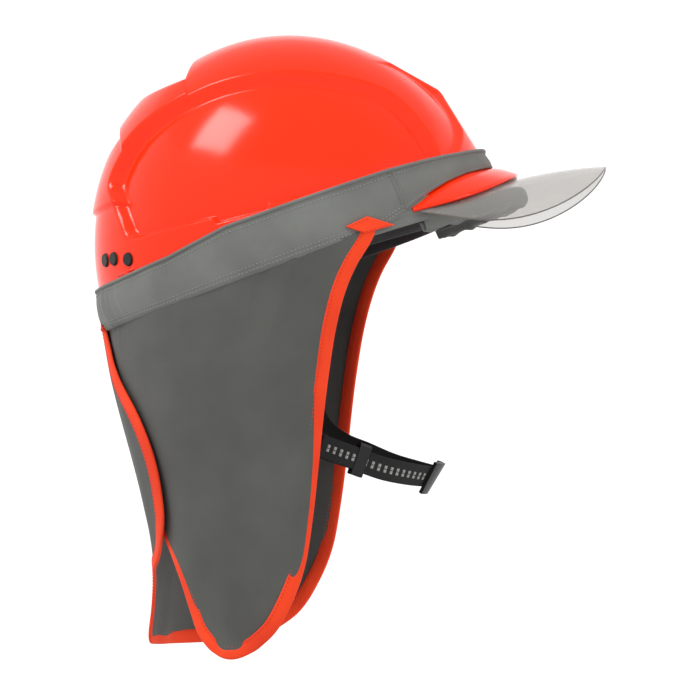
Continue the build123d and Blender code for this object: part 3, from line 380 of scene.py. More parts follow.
def ellipsoid(p, grow, shift=0.0):
    """Rough distance outside the dome's ellipsoid."""
    q = p - np.stack(np.broadcast_arrays(DOME_X + shift, 0.0, 0.0), -1)
    r = np.array([AX + grow, AY + grow, AZ + grow])
    k0 = np.sqrt(((q / r) ** 2).sum(-1))
    return k0 * (k0 - 1) / np.maximum(np.sqrt(((q / r**2) ** 2).sum(-1)), 1e-9)


def stepped_dome(p):
    """Distance outside the dome with its three tiers and front keel, without the side recesses."""
    x, y, z = p[..., 0], np.abs(p[..., 1]), p[..., 2]
    form = ellipsoid(p, 0, -3.0 * smooth_step((z - 65) / 3.2) * smooth_step((-77 - x) / 3.2))
    keel_front = np.minimum(124 - 0.248 * (z - 74.2), 135.6)
    keel_half = 0.72 * np.clip(73 - z, 0, 100)
    keel = smooth_max(x - keel_front, ((x - 93.0) + 0.94 * (z - 107.0)) / 1.37, 1.2)
    keel = smooth_max(keel, (x - keel_front + (y - keel_half)) / 1.41, 0.8)
    proud = np.minimum(2.0 + 5.5 * np.clip((z - 28) / 46, 0, 1), 0.26 * (x - 93))
    keel = np.maximum(np.maximum(keel, ellipsoid(p, 0) - proud), np.maximum(np.maximum(80 - x, y - 50), 19 - z))
    form = smooth_min(form, keel, 1.4)
    low_slope = 109.5 + 0.59 * (x + 83)
    form = smooth_max(form, -np.maximum(x + 83, (low_slope - z) / 1.16), 1.6)
    raised = np.maximum(ellipsoid(p, 0, -6.0), np.maximum(x + 30, -83 - x))
    form = smooth_min(form, np.maximum(raised, 60 - z), 1.2)
    wall = (x - (-30 + (z - 130) * 0.5)) / 1.12
    return smooth_max(form, -np.maximum(wall, 130 - z), 1.6)


RIDGE = np.array([
    (-140, 24), (-101, 40.5), (-76, 46), (-50, 53.7), (-19, 59.5), (9, 62.6), (35, 63.2), (60, 60.4), (82, 54.5),
    (98, 50), (113, 53), (150, 70),
])
RIDGE = spline(RIDGE, 200)


def recess_share(p):
    """How far a place on the dome is let into the side recess, 0 to 1."""
    x, y, z = p[..., 0], np.abs(p[..., 1]), p[..., 2]
    above = y - np.interp(x, RIDGE[:, 0], RIDGE[:, 1])
    step = smooth_step((x + 35) / 2) * smooth_step((3 - x) / 2)
    ledge = z - (38.5 - 0.085 * (x + 92) - 4.2 * step)
    rear = x + 100.5 - (y - 42) * 0.18
    front = 118 - x
    edge = np.minimum(np.minimum(above, ledge), np.minimum(rear, front))
    corner = smooth_min(smooth_min(above, ledge, 7.0), rear, 7.0)
    return smooth_step(np.minimum(edge, corner) / 4.2)


def ray_solve(distance, centre, rays):
    low, high = np.full(rays.shape[:-1], 20.0), np.full(rays.shape[:-1], 190.0)
    for _ in range(26):
        mid = (low + high) / 2
        inside = distance(centre + rays * mid[..., None]) < 0
        low, high = np.where(inside, mid, low), np.where(inside, high, mid)
    return (low + high) / 2


RIM_Z, RECESS_DEPTH, SHELL_WALL = -4.0, 7.0, 2.6
rim_centre = np.array([DOME_X, 0, RIM_Z])


def dome_rays(around, up):
    turn = np.arange(around) * 2 * math.pi / around
    rise = np.linspace(0, 1, up) * math.radians(89.6)
    t, r = np.meshgrid(turn, rise, indexing="ij")
    return np.stack([np.cos(t) * np.cos(r), np.sin(t) * np.cos(r), np.sin(r)], -1)


def dome_surface(rays):
    radius = ray_solve(stepped_dome, rim_centre, rays)
    sunk = ray_solve(lambda p: ellipsoid(p, -RECESS_DEPTH), rim_centre, rays)
    share = recess_share(rim_centre + rays * radius[..., None])
    return rim_centre + rays * (radius - share * np.maximum(radius - sunk, 0))[..., None]


def cap(p):
    """Faces of a dome grid, closed at the top with one point."""
    n, m = p.shape[:2]
    top = p[:, -1].mean(0)
    faces = grid_faces(n, m, wrap_u=True)
    faces += [(i * m + m - 1, ((i + 1) % n) * m + m - 1, n * m) for i in range(n)]
    return np.concatenate([p.reshape(-1, 3), top[None]]), faces


AROUND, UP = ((720, 250))
outer = dome_surface(dome_rays(AROUND, UP))
inner_rays = dome_rays(AROUND // 2, UP // 2)
inner = dome_surface(inner_rays) - inner_rays * SHELL_WALL
outer_part, inner_part = cap(outer), cap(inner)
rim_faces, shift = [], len(outer_part[0])
for j in range(AROUND // 2):
    a, b, c = 2 * j * UP, (2 * j + 1) * UP, ((2 * j + 2) % AROUND) * UP
    d, e = shift + j * (UP // 2), shift + ((j + 1) % (AROUND // 2)) * (UP // 2)
    rim_faces += [(a, b, d), (b, c, e), (b, e, d)]
shell_points = hat_points(np.concatenate([outer_part[0], inner_part[0]]))
shell_faces = outer_part[1] + [tuple(i + shift for i in f) for f in inner_part[1]] + rim_faces

PEAK_ROOT, PEAK_TIP, PEAK_HALF = 84.0, 154.4, 85.0


def peak_plan(turn, tip, half_width, grow):
    """Plan points on the dome's front and on a peak's edge for a turn from the middle."""
    spread = turn / (math.pi / 2) * math.acos((PEAK_ROOT - DOME_X) / AX)
    inner_pt = np.stack([DOME_X + (AX + grow) * np.cos(spread), (AY + grow) * np.sin(spread)], -1)
    outer_pt = np.stack([PEAK_ROOT + (tip - PEAK_ROOT) * np.cos(turn), half_width * np.sin(turn)], -1)
    return inner_pt, outer_pt


turns = np.radians(np.linspace(-87, 87, 121))
root_pt, edge_pt = peak_plan(turns, PEAK_TIP, PEAK_HALF, -1.4)
FRONT_LOW_LINE = np.array([(83, 1.5), (97, 7.5), (112, 12.0), (124, 14.2), (140, 15.0)])
root_z = np.interp(root_pt[:, 0], FRONT_LOW_LINE[:, 0], FRONT_LOW_LINE[:, 1]) + 1.4 * np.cos(turns)
edge_z = 1.2 - 2.0 * np.sin(2 * np.abs(turns)) + 5.4 * np.cos(turns) ** 3
shares = np.linspace(0, 1, 13)
peak_rows = []
for s in shares:
    crown = 1.6 * math.sin(math.pi * s) * np.cos(turns)
    height = root_z * (1 - s) + edge_z * s + crown
    peak_rows.append(np.concatenate([root_pt * (1 - s) + edge_pt * s, height[:, None]], -1))
peak_top = np.stack(peak_rows, 1)
lip = peak_top[:, -1] + np.stack([np.cos(turns) * 0.9, np.sin(turns) * 0.9, np.full_like(turns, -1.2)], -1)
peak_under = peak_top[:, ::-1] - np.array([0, 0, 2.5])
peak_loop = np.concatenate([peak_top, lip[:, None], peak_under], 1)
n, m = peak_loop.shape[:2]
peak_faces = grid_faces(n, m, wrap_v=True) + end_faces(n, m)
peak_points = hat_points(peak_loop.reshape(-1, 3))

KEY_ANGLES = (38, 90, 142)
KEY_SPOTS = [(angle, s) for angle in KEY_ANGLES for s in (1, -1)]
KEY_INSET, STRAP_DEPTH = 2.5, 11.7


def key_frame(angle, s):
    """Place on the shell's inner wall at a suspension key and the way inwards, in hat mm."""
    a = math.radians(angle)
    at = np.array([DOME_X + (AX - KEY_INSET) * math.cos(a), s * (AY - KEY_INSET) * math.sin(a), 0])
    return at, -unit(np.array([math.cos(a) / AX, s * math.sin(a) / AY, 0]))


def box_part(centre, axes, half):
    """Box at a place, on three unit axes."""
    c = np.asarray(centre, float)
    ax = [np.asarray(a, float) for a in axes]
    corners = [c + ax[0] * half[0] * i + ax[1] * half[1] * j + ax[2] * half[2] * k
               for i in (-1, 1) for j in (-1, 1) for k in (-1, 1)]
    return np.array(corners), [(0, 1, 3, 2), (4, 6, 7, 5), (0, 4, 5, 1), (2, 3, 7, 6), (0, 2, 6, 4), (1, 5, 7, 3)]


socket_parts = []
for angle, s in KEY_SPOTS:
    at, inward = key_frame(angle, s)
    across = np.cross([0, 0, 1.0], inward)
    up = np.array([0, 0, 1.0])
    walls = [((-8.3, 3.3, 12), (0.8, 4.6, 7.8)), ((8.3, 3.3, 12), (0.8, 4.6, 7.8)),
             ((0, 7.5, 12), (9.1, 0.7, 7.8)), ((0, 3.3, 20.6), (9.1, 4.6, 0.8))]
    for (right_by, in_by, up_by), half in walls:
        corners, faces = box_part(at + inward * in_by + across * right_by + up * up_by, (across, inward, up), half)
        socket_parts.append((hat_points(corners), faces))

make_piece("shell_moulding", [(shell_points, shell_faces), (peak_points, peak_faces)] + socket_parts,
           shell_mat, "hat", ["shell"])

# ---------------------------------------------------------------- cover band
BAND_TOP_LINE = np.array([
    (-150, 17.5), (-108, 17.5), (-69, 19.5), (-28, 25.5), (25, 27), (81, 28.5), (115, 28), (150, 26),
])
BAND_LOW_LINE = np.array([(-150, -6.5), (-110, -8.2), (-79, -8.6), (-29, -7.3), (26, -5.4), (66, -4.3), (83, 1.5)])
SEAM_X = 83.0
SEAM_TURN = math.acos((SEAM_X - DOME_X) / AX)
rng = np.random.default_rng(7)
fold_turns = np.linspace(0, 2 * math.pi, 2400)
fold_height = np.zeros_like(fold_turns)
for _ in range(150):
    centre = rng.uniform(0, 2 * math.pi)
    rearness = 0.5 - 0.5 * math.cos(centre)
    width = rng.uniform(0.016, 0.045)
    size = rng.uniform(-1.5, 1.5) * rearness**1.6
    gap = (fold_turns - centre + math.pi) % (2 * math.pi) - math.pi
    fold_height += size * np.exp(-((gap / width) ** 2))


def gathers(turn, share):
    """Fold height of the gathered cloth; share is 0 at the bottom hem and 1 at the top cord."""
    slant = 0.05 * (share - 0.5)
    value = np.interp((turn + slant) % (2 * math.pi), fold_turns, fold_height)
    swell = np.sin(np.pi * np.clip(share * 0.86 + 0.1, 0, 1)) ** 0.6
    return value * swell


def band_grid(turn, share, low_line, front):
    """Grid of the band's outer surface in hat mm."""
    t, s = np.meshgrid(turn, share, indexing="ij")
    x = DOME_X + AX * np.cos(t)
    top = np.interp(x, BAND_TOP_LINE[:, 0], BAND_TOP_LINE[:, 1])
    low = np.interp(x, low_line[:, 0], low_line[:, 1])
    z = low + (top - low) * s
    rearness = np.clip(0.5 - 0.5 * np.cos(t), 0, 1)
    bulge = 1.5 + (2.2 * rearness**2 + 0.5) * np.sin(np.pi * np.clip(s * 0.9 + 0.08, 0, 1))
    bulge = bulge + rearness**2 * 2.0 * (1 - s) ** 2
    bulge = bulge + (0 if front else gathers(t, s))
    bulge = bulge + 0.35 * np.sin(np.pi * 2 * s) * (1 - rearness)
    shrink = np.sqrt(np.clip(1 - (np.maximum(z, 0) / AZ) ** 2, 0, 1))
    keel = 3.4 * np.exp(-(((t + math.pi) % (2 * math.pi) - math.pi) / 0.36) ** 4) if front else 0
    a, b = AX * shrink + bulge + keel, AY * shrink + bulge
    return np.stack([DOME_X + a * np.cos(t), b * np.sin(t), z], -1)


def band_pieces(prefix, turn, low_line, front, node):
    share = np.linspace(0, 1, 26)
    grid = band_grid(turn, share, low_line, front)
    if not front:
        hem = grid[:, :1].repeat(4, 1).copy()
        centre = np.array([DOME_X, 0, 0])
        inward = unit((centre - grid[:, 0]) * np.array([1, 1, 0]))
        for k, (reach, drop) in enumerate(((9.0, -0.6), (6.0, -1.6), (2.5, -1.9), (0.6, -1.2))):
            hem[:, k] = grid[:, 0] + inward * reach + np.array([0, 0, drop])
        full = np.concatenate([hem, grid], 1)
    else:
        full = grid
    world_grid = hat_points(full)
    parts = [thick_sheet(world_grid, 1.0)]
    top, normal = hat_points(grid[:, -1]), grid_normals(hat_points(grid))
    outward_n = unit(hat_points(grid[:, -1] - np.array([DOME_X, 0, 0])))
    parts.append(tube(top + outward_n * 0.5, 1.25, outward_n, 8))
    obj = make_piece(prefix, parts, cloth_mat, "hat", [node])
    facing = np.sign((normal * unit(hat_points(grid - np.array([DOME_X, 0, 0])))).sum(-1, keepdims=True))
    normal = normal * facing
    rows = []
    for k in ((1, 3, 22) if not front else (22, 2)):
        line = hat_points(grid)[:, k] + normal[:, k] * 0.62
        rows += stitch_run(line, normal[:, k])
    make_piece(prefix + "_stitches", rows, thread_mat, "hat", ())
    return obj, grid, normal


rear_turns = np.linspace(SEAM_TURN, 2 * math.pi - SEAM_TURN, 620)
front_turns = np.linspace(-SEAM_TURN, SEAM_TURN, 160)
band_rear, _, _ = band_pieces("band_rear_cloth", rear_turns, BAND_LOW_LINE, False, "cover_band_rear")
band_front, front_grid, front_normal = band_pieces(
    "band_front_cloth", front_turns, FRONT_LOW_LINE, True, "cover_band_front")
seams = []
for k in (0, -1):
    line, up = hat_points(front_grid[k]), front_normal[k]
    seams.append(tube(line + up * 0.55, 0.9, up, 8, 0.6))
    seams += stitch_run(line + up * 0.7 + unit(line - hat_points(front_grid[1 if k == 0 else -2])) * 3.2, up)
make_piece("band_side_seams", seams, cloth_mat, "hat", ())

# ---------------------------------------------------------------- neck flaps
FLAP_RINGS = [(-85, -117, 84, 103), (-160, -97.5, 72, 96), (-210, -87, 62, 91), (-262, -80, 58, 87)]
LEFT_FLARE = (0.0, 0.0, -2.0, -15.0)


SKIRT_AX, SKIRT_AY = 134.5, 107.5


def skirt(turn, z, grow, flare):
    """Place on the hanging skirt for an ellipse turn and a world height."""
    turn, z = np.broadcast_arrays(np.asarray(turn, float), np.asarray(z, float))
    cos, sin = np.cos(turn), np.sin(turn)
    top = hat_points(np.stack(
        [DOME_X + (SKIRT_AX + grow) * cos, (SKIRT_AY + grow) * sin, np.full_like(cos, -6.4)], -1))
    xs, ys, zs = [top[..., 0]], [top[..., 1]], [top[..., 2]]
    for (ring_z, rear, front, half), out in zip(FLAP_RINGS, flare):
        rear_x = rear + out
        xs.append((rear_x + front) / 2 + ((front - rear_x) / 2 + grow) * cos)
        ys.append((half + grow) * sin)
        zs.append(np.full_like(cos, float(ring_z)))
    xs, ys, zs = (np.stack(a, -1) for a in (xs, ys, zs))
    out = []
    for values in (xs, ys):
        slope = np.gradient(values, axis=-1) / np.gradient(zs, axis=-1)
        k = np.clip((z[..., None] < zs).sum(-1) - 1, 0, len(FLAP_RINGS) - 1)
        pick = lambda a, i: np.take_along_axis(a, i[..., None], -1)[..., 0]
        z0, z1 = pick(zs, k), pick(zs, k + 1)
        v0, v1, s0, s1 = pick(values, k), pick(values, k + 1), pick(slope, k), pick(slope, k + 1)
        w = z1 - z0
        t = np.clip((z - z0) / w, -0.5, 1.2)
        out.append((2 * t**3 - 3 * t**2 + 1) * v0 + (t**3 - 2 * t**2 + t) * w * s0
                   + (3 * t**2 - 2 * t**3) * v1 + (t**3 - t**2) * w * s1)
    return np.stack([out[0], out[1], z], -1)


def flap_top(turn, grow):
    """World height where the flap meets the band's hem."""
    x = DOME_X + (SKIRT_AX + grow) * np.cos(turn)
    return x * SIN_T + (np.interp(x, BAND_LOW_LINE[:, 0], BAND_LOW_LINE[:, 1]) + 2.2) * COS_T


def cloth_folds(turn, z):
    """Soft folds of the hanging cloth, in mm outwards; the same for both flaps so that they stay apart."""
    drop = np.clip((-z - 5) / 240, 0, 1)
    value = np.zeros_like(turn)
    waves = ((5.0, 0.4, 2.1, 0.6), (8.3, 1.9, 1.25, -0.9), (13.0, 4.1, 0.7, 1.2), (21.0, 2.2, 0.3, 0.5))
    for freq, phase, size, lean in waves:
        value += size * np.sin(freq * turn + phase + lean * 2.4 * drop)
    near_top = np.exp(-((drop / 0.09) ** 2)) * (0.5 - 0.5 * np.cos(turn))
    gathered = np.interp(turn % (2 * math.pi), fold_turns, fold_height) * np.exp(-drop / 0.16) * 0.75
    return value * (0.12 + 0.88 * drop**0.8) * (1 - 0.6 * near_top) + gathered


def turn_at(x, z, grow, flare, low, high):
    """Ellipse turn on the skirt where it has a given x, between two turns."""
    low, high = np.full(np.shape(x), low, float), np.full(np.shape(x), high, float)
    for _ in range(40):
        mid = (low + high) / 2
        more = skirt(mid, z, grow, flare)[..., 0] < x
        low, high = np.where(more, mid, low), np.where(more, high, mid)
    return (low + high) / 2


FRONT_EDGE = [(61, 18.5), (59.5, 12), (56, 5), (48.5, -7), (41, -24), (35, -46), (30, -75), (26, -106), (22.5, -138),
              (18.5, -170), (13.5, -199), (6, -221), (-5, -242), (-17, -253)]
LOW_EDGE = [(-17, -253), (-31, -259), (-40, -258.5), (-48, -254)]
RIGHT_REAR = [(-48, -254), (-55, -245), (-60, -231), (-66, -213), (-73, -196), (-81, -180), (-90, -160), (-98, -140)]
RIGHT_REAR_HIDDEN = [(-2.78, -118), (-3.0, -98), (-3.22, -76), (-3.25, -52)]
LEFT_EDGE = [(-2.93, -36), (-2.86, -56), (-2.66, -80), (-2.47, -102), (-2.385, -125), (-2.375, -150), (-2.44, -178),
             (-2.66, -198), (-2.93, -213), (-3.06, -232), (-3.12, -252), (-3.17, -256)]


def edge_turns(points, grow, flare):
    p = spline(points, 90)
    return np.stack([turn_at(p[:, 0], p[:, 1], grow, flare, -math.pi, -0.05), p[:, 1]], -1)


def even(points, count):
    points, _ = resample(points * np.array([90.0, 1.0]), 1.0)
    at = np.linspace(0, len(points) - 1, count)
    return np.stack([np.interp(at, np.arange(len(points)), points[:, k]) for k in range(2)], -1) / np.array([90.0, 1.0])


def coons(top, low, left, right):
    """Grid of (turn, height) pairs filled in between four border lines."""
    n, m = len(top), len(left)
    u, v = np.linspace(0, 1, n)[:, None, None], np.linspace(0, 1, m)[None, :, None]
    grid = (1 - v) * top[:, None] + v * low[:, None] + (1 - u) * left[None] + u * right[None]
    corners = (1 - u) * (1 - v) * top[0] + u * (1 - v) * top[-1] + (1 - u) * v * low[0] + u * v * low[-1]
    return grid - corners


FLAP_GROW, LEFT_GROW = 1.2, 4.8
NO_FLARE = (0, 0, 0, 0)


def flap_borders(side):
    """Top, low, front and rear border of one flap as (turn, height), front corner first."""
    grow, flare = (FLAP_GROW, NO_FLARE) if side < 0 else (LEFT_GROW, LEFT_FLARE)
    front = edge_turns(FRONT_EDGE, FLAP_GROW, NO_FLARE)
    low = edge_turns(LOW_EDGE, FLAP_GROW, NO_FLARE)
    if side < 0:
        rear = np.concatenate([edge_turns(RIGHT_REAR, grow, flare), spline(RIGHT_REAR_HIDDEN, 40)])[::-1]
        low_line = low
    else:
        front = front * np.array([-1, 1])
        rear = spline(LEFT_EDGE, 90)
        rear[:, 0] += 2 * math.pi
        bottom = np.array([(-low[0, 0], low[0, 1]), (1.95, -259), (2.35, -260), (2.75, -258.5),
                           (2 * math.pi - 3.17, -256)])
        low_line = spline(bottom, 90)
    turns_top = np.linspace(front[0, 0], rear[0, 0], 200)
    top = np.stack([turns_top, flap_top(turns_top, grow)], -1)
    front[0], rear[0] = top[0], top[-1]
    return grow, flare, top, low_line, front, rear


def flap_place(pairs, grow, flare):
    """World place of (turn, height) pairs on the folded cloth, and the way out of it."""
    turn, z = pairs[..., 0], pairs[..., 1]
    below = smooth_step((flap_top(turn, grow) - z) / 45)
    behind = smooth_step((turn - 2.75) / 0.25)
    layer = FLAP_GROW + (grow - FLAP_GROW) * np.maximum(below, behind)
    base = skirt(turn, z, layer, flare)
    out = np.stack([np.cos(turn), np.sin(turn), np.zeros_like(turn)], -1)
    return base + out * cloth_folds(turn, z)[..., None], out


BINDING_PROFILE = [(8.6, 0.55), (8.2, 0.95), (4.0, 1.15), (0.6, 1.15), (-0.5, 0.75), (-0.8, 0.0), (-0.5, -0.75),
                   (0.6, -1.15), (4.0, -1.15), (8.2, -0.95), (8.6, -0.55)]


def flap_pieces(side, name, node, binding_node):
    grow, flare, top, low, front, rear = flap_borders(side)
    n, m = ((150, 190))
    pairs = coons(even(top, n), even(low, n), even(front, m), even(rear, m))
    place, out = flap_place(pairs, grow, flare)
    # the flap cloth's darker colour is painted shade, not a different fabric
    cloth = make_piece(name, [thick_sheet(place, 0.9)], flap_shaded_mat, "hat", [node])
    border = np.concatenate([place[0, :-1], place[:-1, -1], place[-1, ::-1]])
    inner_line = np.concatenate([place[1, :-1], place[:-1, -2], place[-2, ::-1]])
    out_line = np.concatenate([out[0, :-1], out[:-1, -1], out[-1, ::-1]])
    stacked, _ = resample(np.concatenate([border, inner_line - border, out_line], -1)[:, :9], 2.2)
    border = stacked[:, :3]
    for _ in range(3):
        border[1:-1] = (border[:-2] + 2 * border[1:-1] + border[2:]) / 4
    along = unit(np.gradient(border, axis=0))
    up = unit(stacked[:, 6:] - along * (stacked[:, 6:] * along).sum(-1, keepdims=True))
    across = np.cross(along, up)
    across = across * np.sign((across * stacked[:, 3:6]).sum())
    for _ in range(6):
        across[1:-1] = unit(across[:-2] + 2 * across[1:-1] + across[2:])
    parts = [sweep(border, across, up, BINDING_PROFILE)]
    make_piece(name.replace("cloth", "binding"), parts, binding_mat, "hat", [binding_node])
    rows = stitch_run(border + across * 7.4 + up * 1.02, up) + stitch_run(border + across * 7.4 - up * 1.02, -up)
    make_piece(name.replace("cloth", "binding_stitches"), rows, binding_thread_mat, "hat", ())
    return cloth


binding_thread_mat = principled("binding_thread", (0.6, 0.02, 0.002), 0.7)
right_cloth = flap_pieces(-1, "flap_right_cloth", "neck_flap_right", "flap_binding_right")
left_cloth = flap_pieces(1, "flap_left_cloth", "neck_flap_left", "flap_binding_left")


# ---------------------------------------------------------------- clear sun peak and its fabric sleeve
CLEAR_TIP, CLEAR_HALF, CLEAR_GAP = 211.5, 90.0, 0.6


def clear_height(turn, share):
    """Height of the clear peak's top between its root and its edge, in hat mm."""
    side = np.abs(turn) / (math.pi / 2)
    edge = -7.5 - 18.0 * np.sin(math.pi * side**1.35) + 8.5 * np.sin(np.abs(turn)) ** 20
    root = 3.0 * np.cos(turn) - 1.8 * np.sin(np.abs(turn))
    return root + (edge - root) * share**2


turns = np.radians(np.linspace(-85, 85, 141))
root_pt, edge_pt = peak_plan(turns, CLEAR_TIP, CLEAR_HALF, CLEAR_GAP)
clear_shares = np.linspace(0, 1, 40)
CLEAR_THICK = 0.9
clear_grid = np.stack([
    np.concatenate([root_pt * (1 - q) + edge_pt * q, (clear_height(turns, q) - CLEAR_THICK / 2)[:, None]], -1)
    for q in clear_shares], 1)
clear_world = hat_points(clear_grid)
make_piece("clear_peak_sheet", [thick_sheet(clear_world, CLEAR_THICK)], clear_mat, "hat", ["clear_peak"])
clear_up = grid_normals(clear_world)
clear_up = clear_up * np.sign(clear_up[..., 2:])
edge_mat = principled("clear_sheet_edge", (0.12, 0.1, 0.09), 0.25)
make_piece("clear_peak_edge", [tube(clear_world[:, -1], 0.45, clear_up[:, -1], 8)], edge_mat, "hat", ())

sleeve_turns = np.radians(np.linspace(-84, 84, 220))
SLEEVE_TIP, SLEEVE_HALF = 157.0, 79.0


def sleeve_grid():
    """Crumpled cloth pouch: under side, front fold and upper side in one loop."""
    inner_pt, outer_pt = peak_plan(sleeve_turns, SLEEVE_TIP, SLEEVE_HALF, -3.0)
    clear_in, clear_out_pt = peak_plan(sleeve_turns, CLEAR_TIP, CLEAR_HALF, CLEAR_GAP)
    share = np.linalg.norm(outer_pt - clear_in, axis=-1) / np.linalg.norm(clear_out_pt - clear_in, axis=-1)
    under = clear_height(sleeve_turns, np.minimum(share, 1)) - 1.9
    front_top = np.minimum(under, -1.0) - 1.6
    back_top = np.minimum(front_top, RIM_Z - 2.0)
    rows = []
    loop = [(0.0, 0.0), (0.3, 0.0), (0.6, 0.0), (0.85, 0.02), (0.97, 0.18), (1.0, 0.5), (0.97, 0.82), (0.85, 1.0),
            (0.6, 1.0), (0.3, 1.0), (0.0, 1.0)]
    loop = spline(loop, 54)
    for r, side_share in loop:
        plan = inner_pt * (1 - r) + outer_pt * r
        top = back_top * (1 - r) + front_top * r
        low = np.minimum(-7.0 - 7.5 * smooth_step(r / 0.3), front_top - 4.0)
        rows.append(np.concatenate([plan, (low * (1 - side_share) + top * side_share)[:, None]], -1))
    grid = np.stack(rows, 1)
    n, m = grid.shape[:2]
    t, v = np.meshgrid(sleeve_turns, loop[:, 0], indexing="ij")
    side_v = np.meshgrid(sleeve_turns, loop[:, 1], indexing="ij")[1]
    crumple = np.zeros((n, m))
    for freq, phase, size, lean in ((9, 0.3, 0.55, 3), (17, 1.2, 0.5, -5), (29, 2.6, 0.35, 7), (43, 0.9, 0.22, -9)):
        crumple += size * np.sin(freq * t + lean * v + phase + side_v * 2)
    depth = np.clip(1 - side_v, 0, 1) * 1.1 * np.clip(v * 3, 0, 1) + 0.2
    grid[..., 2] -= np.abs(crumple) * depth * np.sin(np.pi * np.clip(0.15 + 0.85 * v, 0, 1)) ** 0.5
    return grid


sleeve_world = hat_points(sleeve_grid())
root_parts = []  # cloth gathered against the dome at both ends of the pouch
for side_sign in (-1, 1):
    turn = np.linspace(math.radians(36), math.radians(66), 60) * side_sign
    share = np.linspace(0, 1, 14)
    t, v = np.meshgrid(turn, share, indexing="ij")
    crease = 0.5 * np.sin(v * 19 + t * 9) * np.sin(np.pi * v)
    grow = 1.2 + crease
    root_parts.append(thick_sheet(hat_points(np.stack([
        DOME_X + (AX + grow) * np.cos(t), (AY + grow) * np.sin(t), -8.5 + 15 * v], -1)), 0.7))
sleeve_obj = make_piece("brim_sleeve_cloth", [thick_sheet(sleeve_world, 0.7)] + root_parts, cloth_mat, "hat",
                        ["brim_sleeve"])
down = np.tile(np.array([0.0, 0.0, -1.0]), (len(sleeve_world), 1))
make_piece("brim_sleeve_stitches", stitch_run(sleeve_world[:, 18] + down * 0.45, down), thread_mat, "hat", ())

# ---------------------------------------------------------------- flap tab at the front top corner, both sides
TAB_CORNERS = np.array([[(45.0, 2.1), (59.6, 4.3)], [(55.0, -5.4), (74.0, -6.0)]])
for side_sign, name in ((-1, "right"), (1, "left")):
    u, v = np.meshgrid(np.linspace(0, 1, 14), np.linspace(0, 1, 10), indexing="ij")
    place = ((1 - u) * (1 - v))[..., None] * TAB_CORNERS[0, 0] + (u * (1 - v))[..., None] * TAB_CORNERS[0, 1]
    place = place + ((1 - u) * v)[..., None] * TAB_CORNERS[1, 0] + (u * v)[..., None] * TAB_CORNERS[1, 1]
    cos = (place[..., 0] - DOME_X) / (AX + 3.2)
    y = side_sign * (AY + 4.4) * np.sqrt(1 - cos**2)
    tab = hat_points(np.stack([place[..., 0], y, place[..., 1]], -1))
    make_piece("flap_tab_" + name, [thick_sheet(tab, 1.5)], binding_mat, "hat", ())
    tab_out = np.tile(np.array([0.0, side_sign, 0.0]), (len(tab), 1))
    rows = stitch_run(tab[:, 1] + tab_out * 0.9, tab_out) + stitch_run(tab[:, -2] + tab_out * 0.9, tab_out)
    make_piece("flap_tab_stitches_" + name, rows, binding_thread_mat, "hat", ())

# ---------------------------------------------------------------- webbing
web_dash_mat = principled("webbing_dashes", (0.26, 0.26, 0.25), 0.75)
WEB_EDGE = 0.35


def web_profile(width, thick, count=14):
    """Flat webbing section with rounded edges and fine lengthwise ribs."""
    half, h = width / 2, thick / 2
    xs = np.linspace(-half + WEB_EDGE, half - WEB_EDGE, count)
    rib = h - 0.07 + 0.07 * np.cos(np.arange(count) * math.pi)
    top = list(zip(xs, rib))
    low = list(zip(xs[::-1], -rib[::-1]))
    return top + [(half, h * 0.4), (half, -h * 0.4)] + low + [(-half, -h * 0.4), (-half, h * 0.4)]


def crown_frame(angle, layer):
    """Centre line and outward direction of one crown strap in hat mm."""
    ends = [key_frame(a, s) for a, s in ((angle, 1), (180 - angle, -1))]
    near, far = (at + inward * STRAP_DEPTH for at, inward in ends)
    middle, half = (near + far) / 2, np.linalg.norm(near - far) / 2
    along = unit(near - far)
    rise = 104.0 + layer * 2.6 + 1.0
    turn = np.linspace(0.0, math.pi, 181)
    base = np.array([middle[0], middle[1], -1.0])
    up = np.array([0, 0, 1.0])
    line = base + along * (half * np.cos(turn))[:, None] + up * ((rise + 0.6) * np.sin(turn))[:, None]
    out = unit(along * (np.cos(turn) / half)[:, None] + up * (np.sin(turn) / rise)[:, None])
    return line, out, np.cross(along, up)


CROWN_NODES = ("crown_strap_lower", "crown_strap_middle", "crown_strap_upper")
for layer, (angle, node) in enumerate(zip(KEY_ANGLES, CROWN_NODES)):
    line, out, across = crown_frame(angle, layer)
    world_line, world_out = hat_points(line), hat_points(out)
    world_across = np.tile(hat_points(across), (len(line), 1))
    part = sweep(world_line, world_across, world_out, web_profile(18.0, 1.15))
    make_piece(node + "_webbing", [part], webbing_mat, "hat", [node])

CHIN_ROUTE = [(14, -85, -24), (11.5, -84, -50), (6, -79, -76), (4, -73, -97), (10, -67.5, -113), (24, -60.5, -124.3),
              (42, -51, -131.4), (60, -41.5, -138.5), (76, -28, -142.6), (86.5, -14, -144.6), (90, 0, -145)]
NECK_X, CHIN_X, CHIN_TILT, CHIN_SPACING = 12.0, 90, 0.6, 1.6
chin_route = np.array(CHIN_ROUTE + [(x, -y, z) for x, y, z in CHIN_ROUTE[-2::-1]], float)


def chin_frame():
    """Line of the chin strap, its run, and the way out of it, in the row's mm."""
    line, _ = resample(spline(chin_route, 300), CHIN_SPACING)
    along = unit(np.gradient(line, axis=0))
    forward = np.clip((line[:, 0] - NECK_X) / (CHIN_X - NECK_X), 0, None)
    out = unit(np.stack([line[:, 0] - NECK_X, line[:, 1], np.zeros(len(line))], -1))
    out = out + np.stack([np.zeros(len(line)), np.zeros(len(line)), -CHIN_TILT * forward**2], -1)
    out = unit(out - along * (out * along).sum(-1, keepdims=True))
    return line, along, out


line, along, out = chin_frame()
cross = np.cross(along, out)
make_piece("chin_webbing_strap", [sweep(line, cross, out, web_profile(15.0, 1.4))], webbing_mat, "chin_strap",
           ["chin_webbing"])


